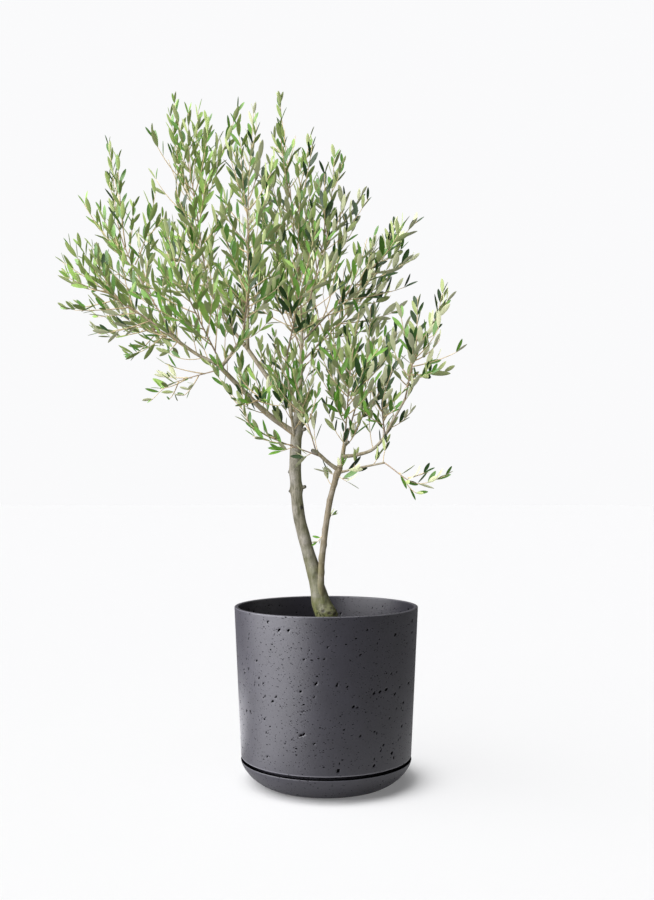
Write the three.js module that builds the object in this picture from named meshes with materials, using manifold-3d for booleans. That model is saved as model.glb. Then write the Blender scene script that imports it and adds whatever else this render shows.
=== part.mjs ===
// A young olive tree in a round cement planter with a matching saucer.
// Millimetres, +Z up. The origin is the centre of the saucer's flat underside, and +X, +Y are level.
// Two stems rise from one root flare in the soil. Boughs spring from them, and each foliage mass
// is a stem with shoots and leaves that fills a leaning egg-shaped space of its own.

import * as THREE from "three";
import { mergeVertices } from "three/addons/utils/BufferGeometryUtils.js";
import Module from "manifold-3d";

const wasm = await Module();
wasm.setup();

// ---------- driving dimensions ----------

const GAP = 0.3; // clearance between pieces that touch on the real object
const RIM_RADIUS = 190;
const RIM_HEIGHT = 361;
const WALL = 8;
const BODY_FOOT_RADIUS = 176; // outer radius just above the shadow gap
const BODY_FOOT_HEIGHT = 57;
const SAUCER_RADIUS = 174;
const SAUCER_HEIGHT = 53;
const SAUCER_WALL = 7;
const SAUCER_ROUND = 50; // radius of the saucer's rounded edge
const SAUCER_FLOOR = 8;
const NECK_RADIUS = 158; // the part of the planter that stands inside the saucer
const NECK_ROUND = 30;
const FLOOR_THICKNESS = 16;
const INNER_ROUND = 24; // where the planter's floor meets its wall
const SHOULDER_HEIGHT = 87; // where its inner wall leaves the neck
const DRAIN_RADIUS = 10;
const RIM_BEVEL = 1.5;
const SOIL_LEVEL = 305;
const LATHE_SIDES = 32;

const TRUNK_SIDES = 10;
const BOUGH_SIDES = 6;
const TWIG_SIDES = 4;
const PATH_STEPS = 6; // steps in which a limb's line is grown

const NARROW = 70; // half width of a mass under which it has fewer shoots and smaller leaves
const SHOOTS = 5; // shoots of a mass, its leader among them
const SHOOTS_IF_NARROW = 4;
const GOLDEN_TURN = 137.5; // degrees from one shoot to the next, round the mass's lean
const STEM_RADIUS = 3.1;
const TWIG_RADIUS = 1.5;
const TWIG_TIP_RADIUS = 1.2;
const LEAF_LENGTH = 82; // larger than life: each leaf stands for a spray of four or five
const LEAF_WIDTH = 23;
const LEAF_THICKNESS = 2.5;
const LEAF_OPENINGS = [40, 26, 54]; // degrees between a leaf and its shoot, in order of choice
const LARGEST_TWIST = 75; // degrees that a leaf rolls about its midrib, either way
const PLACES = 8; // places for leaf pairs along a shoot
const LEAFY_SHARE = 0.85; // of a shoot, measured from its tip
const GOLDEN_STEP = 0.618; // of the leafy share, from one place to the next
const AREA_PER_LEAF = 535; // half length times half width of a mass, shared among its leaves
const FEWEST_LEAVES = 11;
const CLEARANCE = 0.5; // from a leaf or twig to the pieces of other nodes

// ---------- limbs and masses ----------

// Stations of the two stems: height, sideways place (x, y) and radius.
const TRUNK_STATIONS = [
  [SOIL_LEVEL + GAP, 9, 0, 24],
  [330, 3, 0, 19],
  [362, -7, 0, 16.5],
  [402, -19, 0, 15],
  [450, -31, 1, 13.5],
  [510, -48, 2, 12.6],
  [565, -59, 2, 12.2],
  [640, -64, 0, 12],
  [710, -62, -2, 11.6],
  [776, -55, 2, 9.5],
];
const SECOND_STEM_STATIONS = [
  [368, -8, -5, 8.4],
  [416, -11, -15, 7],
  [467, -8, -18, 6.5],
  [553, 3, -21, 6.2],
  [605, 14, -25, 5.8],
  [646, 27, -28, 5.6],
];

// name, parent, place along the parent (0 to 1), heading, rise and curl in degrees, length, radii.
// Heading 0 is +X and 90 is +Y. The rise turns by the curl, mostly in the limb's lower half.
const BOUGHS = [
  ["left_bough", "trunk", 0.875, 198, 38, 12, 221, 6.2, 4.4],
  ["left_outer_bough", "left_bough", 1, 177, 30, 14, 121, 3.6, 2.7],
  ["left_high_bough", "left_bough", 0.95, 327, 44, 12, 84, 3.6, 2.8],
  ["rear_bough", "trunk", 0.965, 159, 49, 9, 194, 5.6, 4.2],
  ["rear_high_bough", "rear_bough", 1, 169, 56, 12, 160, 3.6, 2.7],
  ["crown_bough", "rear_bough", 0.95, 276, 72, 10, 158, 3.4, 2.6],
  ["front_shoot", "trunk", 0.815, 250, 74, 9, 193, 3, 2.4],
  ["top_bough", "trunk", 1, 88, 66, 8, 205, 5, 3],
  ["left_spur", "second_stem", 0.985, 199, 36, 10, 62, 4.4, 3.4],
  ["centre_spur", "second_stem", 1, 36, 74, 10, 55, 5, 3.8],
  ["right_bough", "centre_spur", 0.45, 353, 34, 54, 188, 3.8, 2.5],
  ["low_twig", "second_stem", 0.96, 337, 12, -4, 104, 2.5, 2],
];

// name, bough, place along it, stem's heading, rise and length, the space's lean (heading, rise),
// its half length along the lean and its half width across it.
const MASSES = [
  ["leaves_left_tip", "left_outer_bough", 1, 184, 34, 155, 186, 33, 118, 92],
  ["leaves_left_crest", "left_outer_bough", 0.84, 153, 58, 248, 158, 81, 205, 96],
  ["leaves_left_under", "left_outer_bough", 0.5, 136, 24, 150, 165, -3, 148, 78],
  ["leaves_left_front", "left_bough", 0.88, 234, 52, 198, 232, 66, 145, 96],
  ["leaves_low_left", "left_bough", 0.93, 166, -14, 112, 175, -38, 78, 52],
  ["leaves_top_left", "rear_high_bough", 1, 206, 81, 212, 208, 76, 180, 94],
  ["leaves_rear_left", "rear_high_bough", 0.6, 122, 51, 179, 150, 65, 190, 112],
  ["leaves_top_middle", "crown_bough", 1, 275, 83, 156, 323, 85, 195, 80],
  ["leaves_heart_front", "left_high_bough", 1, 288, 60, 115, 306, 73, 150, 97],
  ["leaves_heart_right", "front_shoot", 1, 293, 56, 135, 316, 70, 150, 90],
  ["leaves_top_right", "top_bough", 1, 211, 84, 277, 213, 82, 210, 90],
  ["leaves_upper_right", "top_bough", 0.87, 7, 77, 252, 33, 83, 165, 90],
  ["leaves_right_crest", "top_bough", 0.76, 349, 45, 238, 347, 44, 135, 92],
  ["leaves_rear_middle", "top_bough", 0.65, 113, 51, 235, 80, 76, 203, 127],
  ["leaves_rear_right", "top_bough", 0.52, 46, 41, 191, 36, 62, 170, 112],
  ["leaves_right_outer", "right_bough", 1, 10, 76, 98, 357, 59, 150, 90],
  ["leaves_right_front", "centre_spur", 1, 278, 62, 159, 298, 73, 138, 91],
  ["leaves_right_inner", "centre_spur", 0.6, 53, 66, 220, 60, 72, 152, 98],
  ["leaves_low_middle", "left_spur", 1, 227, 67, 133, 226, 75, 112, 68],
  ["leaves_low_right", "low_twig", 1, 338, -32, 79, 348, 15, 84, 32],
  ["leaves_low_front", "left_spur", 0.7, 195, 21, 144, 186, 56, 84, 38],
  ["leaves_bough_front", "left_bough", 0.5, 285, 4, 72, 250, 45, 84, 58],
  ["leaves_right_low", "right_bough", 0.55, 262, 40, 88, 300, 62, 96, 60],
];

// Pruned stubs on the trunk: place along it, heading, length from its middle, radius.
const STUB_RISE = 20;
const STUBS = [
  [0.635, 350, 22, 3.4],
  [0.62, 185, 17, 3.2],
  [0.705, 172, 16, 4],
  [0.55, 325, 16, 4.2],
  [0.885, 345, 21, 3.6],
];

// ---------- materials ----------

const cement = new THREE.MeshStandardMaterial({ color: 0x47474d, roughness: 0.85, metalness: 0 });
const pottingSoil = new THREE.MeshStandardMaterial({ color: 0x3b2d23, roughness: 1, metalness: 0 });
const bark = new THREE.MeshStandardMaterial({ color: 0x97907c, roughness: 0.9, metalness: 0 });
const foliage = new THREE.MeshStandardMaterial({ color: 0x6d8a55, roughness: 0.6, metalness: 0 });

// ---------- solids ----------

const rad = THREE.MathUtils.degToRad;
const SIDEWAYS = new THREE.Vector3(0.6, -0.74, 0.3).normalize(); // no limb runs along it

// A repeatable number from 0 to 1 for draw n of a seed.
function draw(seed, n) {
  const wave = Math.sin(seed * 127.1 + n * 311.7) * 43758.5453;
  return wave - Math.floor(wave);
}

function vector([x, y, z]) {
  return new THREE.Vector3(x, y, z);
}

// A unit vector from a compass heading and a rise above level, in degrees.
function pointing(heading, rise) {
  const level = Math.cos(rad(rise));
  return new THREE.Vector3(
    level * Math.cos(rad(heading)),
    level * Math.sin(rad(heading)),
    Math.sin(rad(rise)),
  );
}

// A closed geometry as a solid, turned the right way out.
function solidOf(geometry) {
  geometry.deleteAttribute("normal");
  geometry.deleteAttribute("uv");
  const merged = mergeVertices(geometry, 1e-3);
  const build = (triVerts) =>
    new wasm.Manifold(
      new wasm.Mesh({ numProp: 3, vertProperties: merged.attributes.position.array, triVerts }),
    );
  const faces = new Uint32Array(merged.index.array);
  const solid = build(faces);
  return solid.volume() < 0 ? build(faces.reverse()) : solid;
}

// The largest connected piece of a solid, which drops loose scraps.
function largest(solid) {
  return solid.decompose().reduce((a, b) => (b.volume() > a.volume() ? b : a));
}

function meshOf(name, solid, material) {
  const { numProp, numVert, vertProperties, triVerts } = solid.getMesh();
  const positions = new Float32Array(numVert * 3);
  for (let i = 0; i < numVert; i++) {
    positions.set(vertProperties.subarray(i * numProp, i * numProp + 3), i * 3);
  }
  const geometry = new THREE.BufferGeometry();
  geometry.setAttribute("position", new THREE.BufferAttribute(positions, 3));
  geometry.setIndex(new THREE.BufferAttribute(triVerts, 1));
  geometry.computeVertexNormals();
  const mesh = new THREE.Mesh(geometry, material);
  mesh.name = name;
  return mesh;
}

// A profile of [radius, height] points turned about the Z axis.
function turned(profile) {
  const points = profile.map(([radius, height]) => new THREE.Vector2(radius, height));
  const geometry = new THREE.LatheGeometry(points, LATHE_SIDES);
  geometry.rotateX(Math.PI / 2);
  return solidOf(geometry);
}

// Points of a quarter round about [cx, cz], from below it to its outer side.
function quarterRound(cx, cz, radius, steps) {
  return Array.from({ length: steps + 1 }, (_, i) => {
    const turn = (i / steps) * (Math.PI / 2);
    return [cx + radius * Math.sin(turn), cz - radius * Math.cos(turn)];
  });
}

// ---------- planter ----------

// The planter's inner wall from its floor up to a height, set in by a clearance.
function insideOf(height, clear) {
  const foot = BODY_FOOT_RADIUS - WALL;
  const slope = (RIM_RADIUS - BODY_FOOT_RADIUS) / (RIM_HEIGHT - SHOULDER_HEIGHT);
  const floor = SAUCER_FLOOR + GAP + FLOOR_THICKNESS;
  const centre = NECK_RADIUS - WALL - INNER_ROUND;
  return [
    ...quarterRound(centre, floor + INNER_ROUND, INNER_ROUND - clear, 2),
    [foot - clear, SHOULDER_HEIGHT],
    [foot + slope * (height - SHOULDER_HEIGHT) - clear, height],
  ];
}

function planter() {
  const lowest = SAUCER_FLOOR + GAP;
  return turned([
    [DRAIN_RADIUS, lowest],
    ...quarterRound(NECK_RADIUS - NECK_ROUND, lowest + NECK_ROUND, NECK_ROUND, 3),
    [NECK_RADIUS, BODY_FOOT_HEIGHT],
    [BODY_FOOT_RADIUS - RIM_BEVEL, BODY_FOOT_HEIGHT],
    [BODY_FOOT_RADIUS, BODY_FOOT_HEIGHT + RIM_BEVEL],
    [RIM_RADIUS, RIM_HEIGHT - 2 * RIM_BEVEL],
    [RIM_RADIUS - RIM_BEVEL, RIM_HEIGHT],
    [RIM_RADIUS - WALL + RIM_BEVEL, RIM_HEIGHT],
    ...insideOf(RIM_HEIGHT - 2 * RIM_BEVEL, 0).reverse(),
    [DRAIN_RADIUS, lowest + FLOOR_THICKNESS],
    [DRAIN_RADIUS, lowest],
  ]);
}

function saucer() {
  const footRadius = SAUCER_RADIUS - SAUCER_ROUND;
  const innerRound = SAUCER_ROUND - SAUCER_WALL - 6;
  const innerCentre = SAUCER_RADIUS - SAUCER_WALL - innerRound;
  return turned([
    [0, 0],
    ...quarterRound(footRadius, SAUCER_ROUND, SAUCER_ROUND, 5),
    [SAUCER_RADIUS, SAUCER_HEIGHT],
    [SAUCER_RADIUS - SAUCER_WALL, SAUCER_HEIGHT],
    ...quarterRound(innerCentre, SAUCER_FLOOR + innerRound, innerRound, 3).reverse(),
    [0, SAUCER_FLOOR],
  ]);
}

// The soil fills the planter from its floor to 56 mm under the rim.
function soil() {
  const clear = 2 * GAP; // the turned walls are faceted, so they need more than one gap
  const side = insideOf(SOIL_LEVEL, clear);
  return turned([[0, side[0][1]], ...side, [0, SOIL_LEVEL]]);
}

// ---------- limbs ----------

// The line of a limb: equal steps whose rise turns smoothly by the curl.
function grown(start, heading, rise, curl, length) {
  const points = [start.clone()];
  for (let i = 0; i < PATH_STEPS; i++) {
    const turn = curl * (THREE.MathUtils.smoothstep((i + 0.5) / PATH_STEPS, 0.1, 0.6) - 0.5);
    const step = pointing(heading, rise + turn).multiplyScalar(length / PATH_STEPS);
    points.push(points[i].clone().add(step));
  }
  return points;
}

// The point at a share of a line's length.
function along(points, share) {
  const spans = points.slice(1).map((p, i) => p.distanceTo(points[i]));
  let left = share * spans.reduce((a, b) => a + b, 0);
  for (let i = 0; i < spans.length; i++) {
    if (left <= spans[i] || i === spans.length - 1) {
      return points[i].clone().lerp(points[i + 1], Math.min(1, left / spans[i]));
    }
    left -= spans[i];
  }
}

// A closed tube of a given number of sides along points, with a radius for each point.
function tube(points, radii, sides) {
  const positions = [];
  const index = [];
  const last = points.length - 1;
  let side = SIDEWAYS;
  points.forEach((p, i) => {
    const ahead = points[Math.min(i + 1, last)].clone().sub(points[Math.max(i - 1, 0)]).normalize();
    side = side.clone().addScaledVector(ahead, -side.dot(ahead)).normalize();
    const other = ahead.clone().cross(side);
    for (let k = 0; k < sides; k++) {
      const turn = (k / sides) * 2 * Math.PI;
      const place = p
        .clone()
        .addScaledVector(side, Math.cos(turn) * radii[i])
        .addScaledVector(other, Math.sin(turn) * radii[i]);
      positions.push(...place.toArray());
    }
  });
  for (let i = 0; i < last; i++) {
    for (let k = 0; k < sides; k++) {
      const a = i * sides + k;
      const b = i * sides + ((k + 1) % sides);
      index.push(a, b, b + sides, a, b + sides, a + sides);
    }
  }
  for (let k = 1; k < sides - 1; k++) {
    const top = last * sides;
    index.push(0, k + 1, k, top, top + k, top + k + 1);
  }
  const geometry = new THREE.BufferGeometry();
  geometry.setAttribute("position", new THREE.Float32BufferAttribute(positions, 3));
  geometry.setIndex(index);
  return solidOf(geometry);
}

// A limb's solid. With a gap on its sides and ends it is the cutter for its neighbours.
function limbSolid(limb, gap = 0) {
  const points = limb.points.map((p) => p.clone());
  const last = points.length - 1;
  if (gap) {
    points[0].add(points[0].clone().sub(points[1]).setLength(gap));
    points[last].add(points[last].clone().sub(points[last - 1]).setLength(gap));
  }
  const swelling = gap / Math.cos(Math.PI / limb.sides); // a tube's flats lie inside its radius
  return tube(points, limb.radii.map((r) => r + swelling), limb.sides);
}

const limbs = new Map();

function addStem(name, stations, steps) {
  const centres = stations.map(([z, x, y]) => vector([x, y, z]));
  const line = new THREE.CatmullRomCurve3(centres, false, "catmullrom", 0.5);
  const sizes = new THREE.SplineCurve(stations.map((s, i) => new THREE.Vector2(i, s[3])));
  limbs.set(name, {
    points: line.getPoints(steps),
    radii: sizes.getPoints(steps).map((v) => v.y),
    sides: TRUNK_SIDES,
  });
}

function addBough([name, parent, at, heading, rise, curl, length, baseRadius, tipRadius]) {
  const start = along(limbs.get(parent).points, at);
  const points = grown(start, heading, rise, curl, length);
  const radii = points.map((_, i) => {
    const share = i / PATH_STEPS;
    const collar = 0.45 * baseRadius * Math.exp((-share * length) / (1.6 * baseRadius));
    return baseRadius + (tipRadius - baseRadius) * share + collar;
  });
  limbs.set(name, { points, radii, sides: BOUGH_SIDES });
}

addStem("trunk", TRUNK_STATIONS, 14);
addStem("second_stem", SECOND_STEM_STATIONS, 9);
BOUGHS.forEach(addBough);

// The trunk's top and foot are flat, and short pruned stubs stand out of its sides.
function trunkSolid() {
  const { points, radii, sides } = limbs.get("trunk");
  const foot = points[0].z;
  const below = solidOf(new THREE.BoxGeometry(200, 200, 100).translate(0, 0, foot - 50));
  const sunk = points[0].clone().setZ(foot - 3); // the foot's ring slants, so it is cut flat
  const bare = tube([sunk, ...points.slice(1)], radii, sides).subtract(below);
  const stubs = STUBS.map(([at, heading, length, radius]) => {
    const inside = along(points, at);
    const tip = inside.clone().addScaledVector(pointing(heading, STUB_RISE), length);
    return tube([inside, tip], [radius * 1.4, radius], BOUGH_SIDES);
  });
  return wasm.Manifold.union([bare, ...stubs]);
}

// ---------- foliage ----------

// A leaf of six faces: a point sunk in its twig, a flat blade with a keel, and a point at its tip.
function leafSolid({ root, direction, face, length }) {
  const across = direction.clone().cross(face).normalize();
  const centre = root.clone().addScaledVector(direction, length * 0.46);
  const width = (LEAF_WIDTH * length) / LEAF_LENGTH / 2;
  const corners = [
    root,
    centre.clone().addScaledVector(across, width),
    centre.clone().addScaledVector(across, -width),
    centre.clone().addScaledVector(face, -LEAF_THICKNESS),
    root.clone().addScaledVector(direction, length),
  ];
  const geometry = new THREE.BufferGeometry().setFromPoints(corners);
  geometry.setIndex([0, 2, 1, 0, 3, 2, 0, 1, 3, 4, 1, 2, 4, 2, 3, 4, 3, 1]);
  return solidOf(geometry);
}

const spaces = MASSES.map((row, i) => {
  const [name, bough, at, heading, rise, length, leanHeading, leanRise, half, wide] = row;
  const start = along(limbs.get(bough).points, at);
  const heart = start.clone().addScaledVector(pointing(heading, rise), length);
  const lean = pointing(leanHeading, leanRise);
  const leafLength = LEAF_LENGTH * Math.min(1, wide / NARROW);
  const shootCount = wide < NARROW ? SHOOTS_IF_NARROW : SHOOTS;
  return { name, start, heart, lean, half, wide, leafLength, shootCount, seed: i + 1 };
});

// How far a point lies from a space's heart: 1 on the space's surface.
function depthIn(space, p) {
  const away = p.clone().sub(space.heart);
  const up = away.dot(space.lean);
  const out = Math.sqrt(Math.max(0, away.lengthSq() - up * up));
  return Math.hypot(up / space.half, out / space.wide);
}

// A point belongs to the space whose heart is nearest by that measure.
function owns(space, p, slack = 0) {
  const own = depthIn(space, p);
  return own < 1 + slack && spaces.every((other) => depthIn(other, p) >= own - slack);
}

// All that stands so far, so that a new twig or leaf keeps clear of what other nodes hold.
const standing = [];

function boxOf(solid) {
  const { min, max } = solid.boundingBox();
  return new THREE.Box3(vector(min), vector(max));
}

function stand(tag, solid) {
  standing.push({ tag, solid, box: boxOf(solid).expandByScalar(CLEARANCE) });
}

// True where a solid is clear of all that stands, but for what it grows from.
function isClear(solid, isOwn) {
  const box = boxOf(solid);
  return standing.every(
    ({ tag, solid: other, box: room }) =>
      isOwn(tag) || !room.intersectsBox(box) || other.minGap(solid, CLEARANCE) >= CLEARANCE,
  );
}

// The line of a shoot: it leaves its stem at a slant and turns up towards its tip.
function shootLine(start, tip) {
  const away = tip.clone().sub(start);
  const early = away.z > 0 ? 0.3 : 0.9;
  const bend = start.clone().add(new THREE.Vector3(0.6 * away.x, 0.6 * away.y, early * away.z));
  return new THREE.QuadraticBezierCurve3(start, bend, tip).getPoints(2);
}

// The stem runs from its bough to the heart, and on along the lean as the leading shoot. Its
// upper half is leafy too.
function leaderOf(space) {
  for (let reach = 1; reach > 0; reach -= 0.07) {
    const tip = space.heart.clone();
    tip.addScaledVector(space.lean, reach * (space.half - 0.9 * space.leafLength));
    const line = [space.start, space.heart, tip];
    const solid = tube(line, [STEM_RADIUS, STEM_RADIUS * 0.75, TWIG_TIP_RADIUS], TWIG_SIDES);
    if (owns(space, tip) && isClear(solid, (tag) => limbs.has(tag))) {
      line[0] = space.start.clone().lerp(space.heart, 0.5);
      return { line, solid, tag: `${space.name}/0`, seed: space.seed * 31 };
    }
  }
}

// Side shoot k of a mass, or null where it finds no room. They stand round the lean by the golden
// angle, from near its tip to below its middle, each as long as its own space allows.
function sideShootOf(space, k) {
  const side = SIDEWAYS.clone().cross(space.lean).normalize();
  const other = space.lean.clone().cross(side);
  const share = k / space.shootCount;
  const slope = 1 - 1.9 * share;
  const turn = rad(k * GOLDEN_TURN + 360 * draw(space.seed, 0));
  const spread = Math.sqrt(1 - slope * slope) * space.wide;
  const away = space.lean
    .clone()
    .multiplyScalar(slope * space.half)
    .addScaledVector(side, Math.cos(turn) * spread)
    .addScaledVector(other, Math.sin(turn) * spread);
  const start = space.start.clone().lerp(space.heart, 1 - 0.7 * share);
  const longest = 1 - (0.9 * space.leafLength) / away.length();
  for (let reach = longest; reach > 0.3 * longest; reach -= 0.07) {
    const tip = space.heart.clone().addScaledVector(away, reach);
    if (!owns(space, tip)) continue;
    const line = shootLine(start, tip);
    const solid = tube(line, [TWIG_RADIUS, TWIG_RADIUS * 0.9, TWIG_TIP_RADIUS], TWIG_SIDES);
    if (isClear(solid, (tag) => tag.startsWith(space.name))) {
      return { line, solid, tag: `${space.name}/${k}`, seed: space.seed * 31 + k };
    }
  }
  return null;
}

// The leaf on one side of place j of a shoot, at the first opening where it finds room, or null.
// Pairs stand across each other along a shoot, over the flats of its twig. Hand 0 is the tip's leaf.
function leafOf(space, shoot, j, hand) {
  const share = 0.97 - LEAFY_SHARE * ((j * GOLDEN_STEP) % 1);
  const root = along(shoot.line, share);
  const ahead = along(shoot.line, share + 0.03).sub(along(shoot.line, share - 0.05)).normalize();
  const side = SIDEWAYS.clone().addScaledVector(ahead, -SIDEWAYS.dot(ahead)).normalize();
  const turn = rad(45 + 90 * j + (hand < 0 ? 180 : 0));
  const out = side.clone().multiplyScalar(Math.cos(turn));
  out.addScaledVector(ahead.clone().cross(side), Math.sin(turn));
  const length = space.leafLength * (0.85 + 0.3 * draw(shoot.seed, j * 3 + hand));
  for (const angle of LEAF_OPENINGS) {
    const opening = rad(angle * Math.abs(hand));
    const turned = (a, b) => ahead.clone().multiplyScalar(a).addScaledVector(out, b);
    const direction = turned(Math.cos(opening), Math.sin(opening));
    const twist = rad(LARGEST_TWIST * (2 * draw(shoot.seed, j * 3 + hand + 40) - 1));
    const face = turned(Math.sin(opening), -Math.cos(opening)).applyAxisAngle(direction, twist);
    const solid = leafSolid({ root, direction, face, length });
    const middle = root.clone().addScaledVector(direction, length * 0.5);
    const tip = root.clone().addScaledVector(direction, length);
    const slack = 12 / space.wide;
    const isOwn = (tag) => tag === shoot.tag || tag === `${shoot.tag}/${j}`;
    if (owns(space, middle, slack / 2) && owns(space, tip, slack) && isClear(solid, isOwn)) {
      return solid;
    }
  }
  return null;
}

// One mass: its stem, shoots and leaves joined into one solid, cut clear of the limbs.
function massSolid(space, limbCutter) {
  const shoots = [space.leader];
  for (let k = 1; k < space.shootCount; k++) {
    const shoot = sideShootOf(space, k);
    if (!shoot) continue;
    shoots.push(shoot);
    stand(shoot.tag, shoot.solid);
  }
  const pieces = shoots.map((shoot) => shoot.solid);
  let wanted = Math.max(FEWEST_LEAVES, Math.round((space.half * space.wide) / AREA_PER_LEAF));
  for (let j = 0; j < PLACES; j++) {
    for (const shoot of shoots) {
      for (const hand of j ? [1, -1] : [0, 1, -1]) {
        const solid = wanted > 0 && leafOf(space, shoot, j, hand);
        if (!solid) continue;
        pieces.push(solid);
        stand(`${shoot.tag}/${j}`, solid);
        wanted -= 1;
      }
    }
  }
  const joined = wasm.Manifold.union(pieces);
  return largest(joined.subtract(limbCutter));
}

// ---------- assembly ----------

const root = new THREE.Group();
root.add(meshOf("saucer", saucer(), cement));
root.add(meshOf("planter", planter(), cement));
root.add(meshOf("soil", soil(), pottingSoil));

// Each limb is cut clear of those before it in the list, which it springs from.
const cutters = [];
for (const [name, limb] of limbs) {
  const whole = name === "trunk" ? trunkSolid() : limbSolid(limb);
  const solid = largest(whole.subtract(wasm.Manifold.union(cutters)));
  root.add(meshOf(name, solid, bark));
  stand(name, solid);
  cutters.push(limbSolid(limb, GAP));
}

// Every stem has its place before the first shoot grows, so that no shoot blocks a stem.
for (const space of spaces) {
  space.leader = leaderOf(space);
  stand(space.leader.tag, space.leader.solid);
}
const allLimbs = wasm.Manifold.union(cutters);
for (const space of spaces) root.add(meshOf(space.name, massSolid(space, allLimbs), foliage));

export default root;
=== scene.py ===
"""A young olive tree in a cement planter: its bark, twigs, leaves and finishes.

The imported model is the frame. Shapes are worked out in millimetres, +Z up, from the centre of the
saucer's underside, and become metres as they are put into a mesh.
"""

import math

import bpy
import numpy as np
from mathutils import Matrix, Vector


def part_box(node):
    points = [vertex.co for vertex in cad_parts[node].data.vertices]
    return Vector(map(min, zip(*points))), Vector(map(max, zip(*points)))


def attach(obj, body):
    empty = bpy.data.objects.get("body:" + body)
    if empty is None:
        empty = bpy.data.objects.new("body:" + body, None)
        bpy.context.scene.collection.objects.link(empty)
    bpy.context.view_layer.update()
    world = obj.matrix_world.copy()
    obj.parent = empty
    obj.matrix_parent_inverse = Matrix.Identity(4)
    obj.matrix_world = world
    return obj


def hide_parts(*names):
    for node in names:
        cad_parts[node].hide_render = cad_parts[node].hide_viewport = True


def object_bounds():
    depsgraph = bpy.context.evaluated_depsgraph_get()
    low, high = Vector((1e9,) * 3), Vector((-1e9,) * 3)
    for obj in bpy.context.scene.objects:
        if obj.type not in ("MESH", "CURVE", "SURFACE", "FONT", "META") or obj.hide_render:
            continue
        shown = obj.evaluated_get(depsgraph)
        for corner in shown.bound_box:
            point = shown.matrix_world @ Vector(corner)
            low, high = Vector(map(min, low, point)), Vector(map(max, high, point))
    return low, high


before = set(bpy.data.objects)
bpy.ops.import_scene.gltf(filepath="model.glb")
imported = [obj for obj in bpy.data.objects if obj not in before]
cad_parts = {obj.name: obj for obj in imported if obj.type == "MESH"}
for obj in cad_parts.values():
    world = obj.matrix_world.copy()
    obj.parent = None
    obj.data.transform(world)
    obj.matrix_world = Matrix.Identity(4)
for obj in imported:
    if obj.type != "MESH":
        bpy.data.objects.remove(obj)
cad_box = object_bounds()

MM = 0.001

# ---------- sizes taken from the frame ----------


def corners(node):
    """Lowest and highest corner of a node of the frame, in millimetres."""
    low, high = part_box(node)
    return np.array(low) / MM, np.array(high) / MM


RIM_RADIUS, _, RIM_HEIGHT = corners("planter")[1]
SAUCER_RADIUS, _, SAUCER_HEIGHT = corners("saucer")[1]
SOIL_RADIUS, _, SOIL_LEVEL = corners("soil")[1]

REACH_LOW, REACH_HIGH = (np.array(corner) / MM for corner in cad_box)

GAP = 0.3  # clearance between pieces that touch on the real object
WALL = 8
BODY_FOOT_RADIUS = RIM_RADIUS - 14  # outer radius just above the recess over the saucer
SAUCER_TOP = SAUCER_HEIGHT - 5  # lower than in the frame, so that the recess is as wide as it shows
BODY_FOOT_HEIGHT = SAUCER_TOP + 6
SAUCER_WALL = 7
SAUCER_LIP_RADIUS = BODY_FOOT_RADIUS + 0.5  # flush with the wall above it
SAUCER_LIP_ROUND = 1.2
SAUCER_ROUND = 49  # from the flat of its foot out to its widest
SAUCER_CURVE = 1.38  # 1 for an ellipse's quarter, more where the side is flatter midway
SAUCER_FLOOR = 8
NECK_RADIUS = SAUCER_RADIUS - 16  # the part of the planter that stands inside the saucer
NECK_ROUND = 30
FLOOR_THICKNESS = 16
INNER_ROUND = 24  # where the planter's floor meets its wall
SHOULDER_HEIGHT = 87  # where the planter's inner wall leaves the neck
DRAIN_RADIUS = 10
LIP_ROUND = 1.6
OUTER_PITS = 230
INNER_PITS = 60
PIT_DEPTH = 3
LATHE_SIDES = 480
SAUCER_SIDES = 192
WALL_SLOPE = (RIM_RADIUS - BODY_FOOT_RADIUS) / (RIM_HEIGHT - SHOULDER_HEIGHT)

CRUMBS = 1100
CRUMB_LEVEL = SOIL_LEVEL - 4.2

# ---------- limbs and masses, as in the part's source ----------

PATH_STEPS = 6  # steps in which a limb's line is grown
TRUNK_STEPS = 14
SECOND_STEM_STEPS = 9

# Stations of the two stems: height, sideways place (x, y) and radius.
TRUNK_STATIONS = [
    (SOIL_LEVEL + GAP, 9, 0, 24),
    (330, 3, 0, 19),
    (362, -7, 0, 16.5),
    (402, -19, 0, 15),
    (450, -31, 1, 13.5),
    (510, -48, 2, 12.6),
    (565, -59, 2, 12.2),
    (640, -64, 0, 12),
    (710, -62, -2, 11.6),
    (776, -55, 2, 9.5),
]
SECOND_STEM_STATIONS = [
    (368, -8, -5, 8.4),
    (416, -11, -15, 7),
    (467, -8, -18, 6.5),
    (553, 3, -21, 6.2),
    (605, 14, -25, 5.8),
    (646, 27, -28, 5.6),
]

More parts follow.
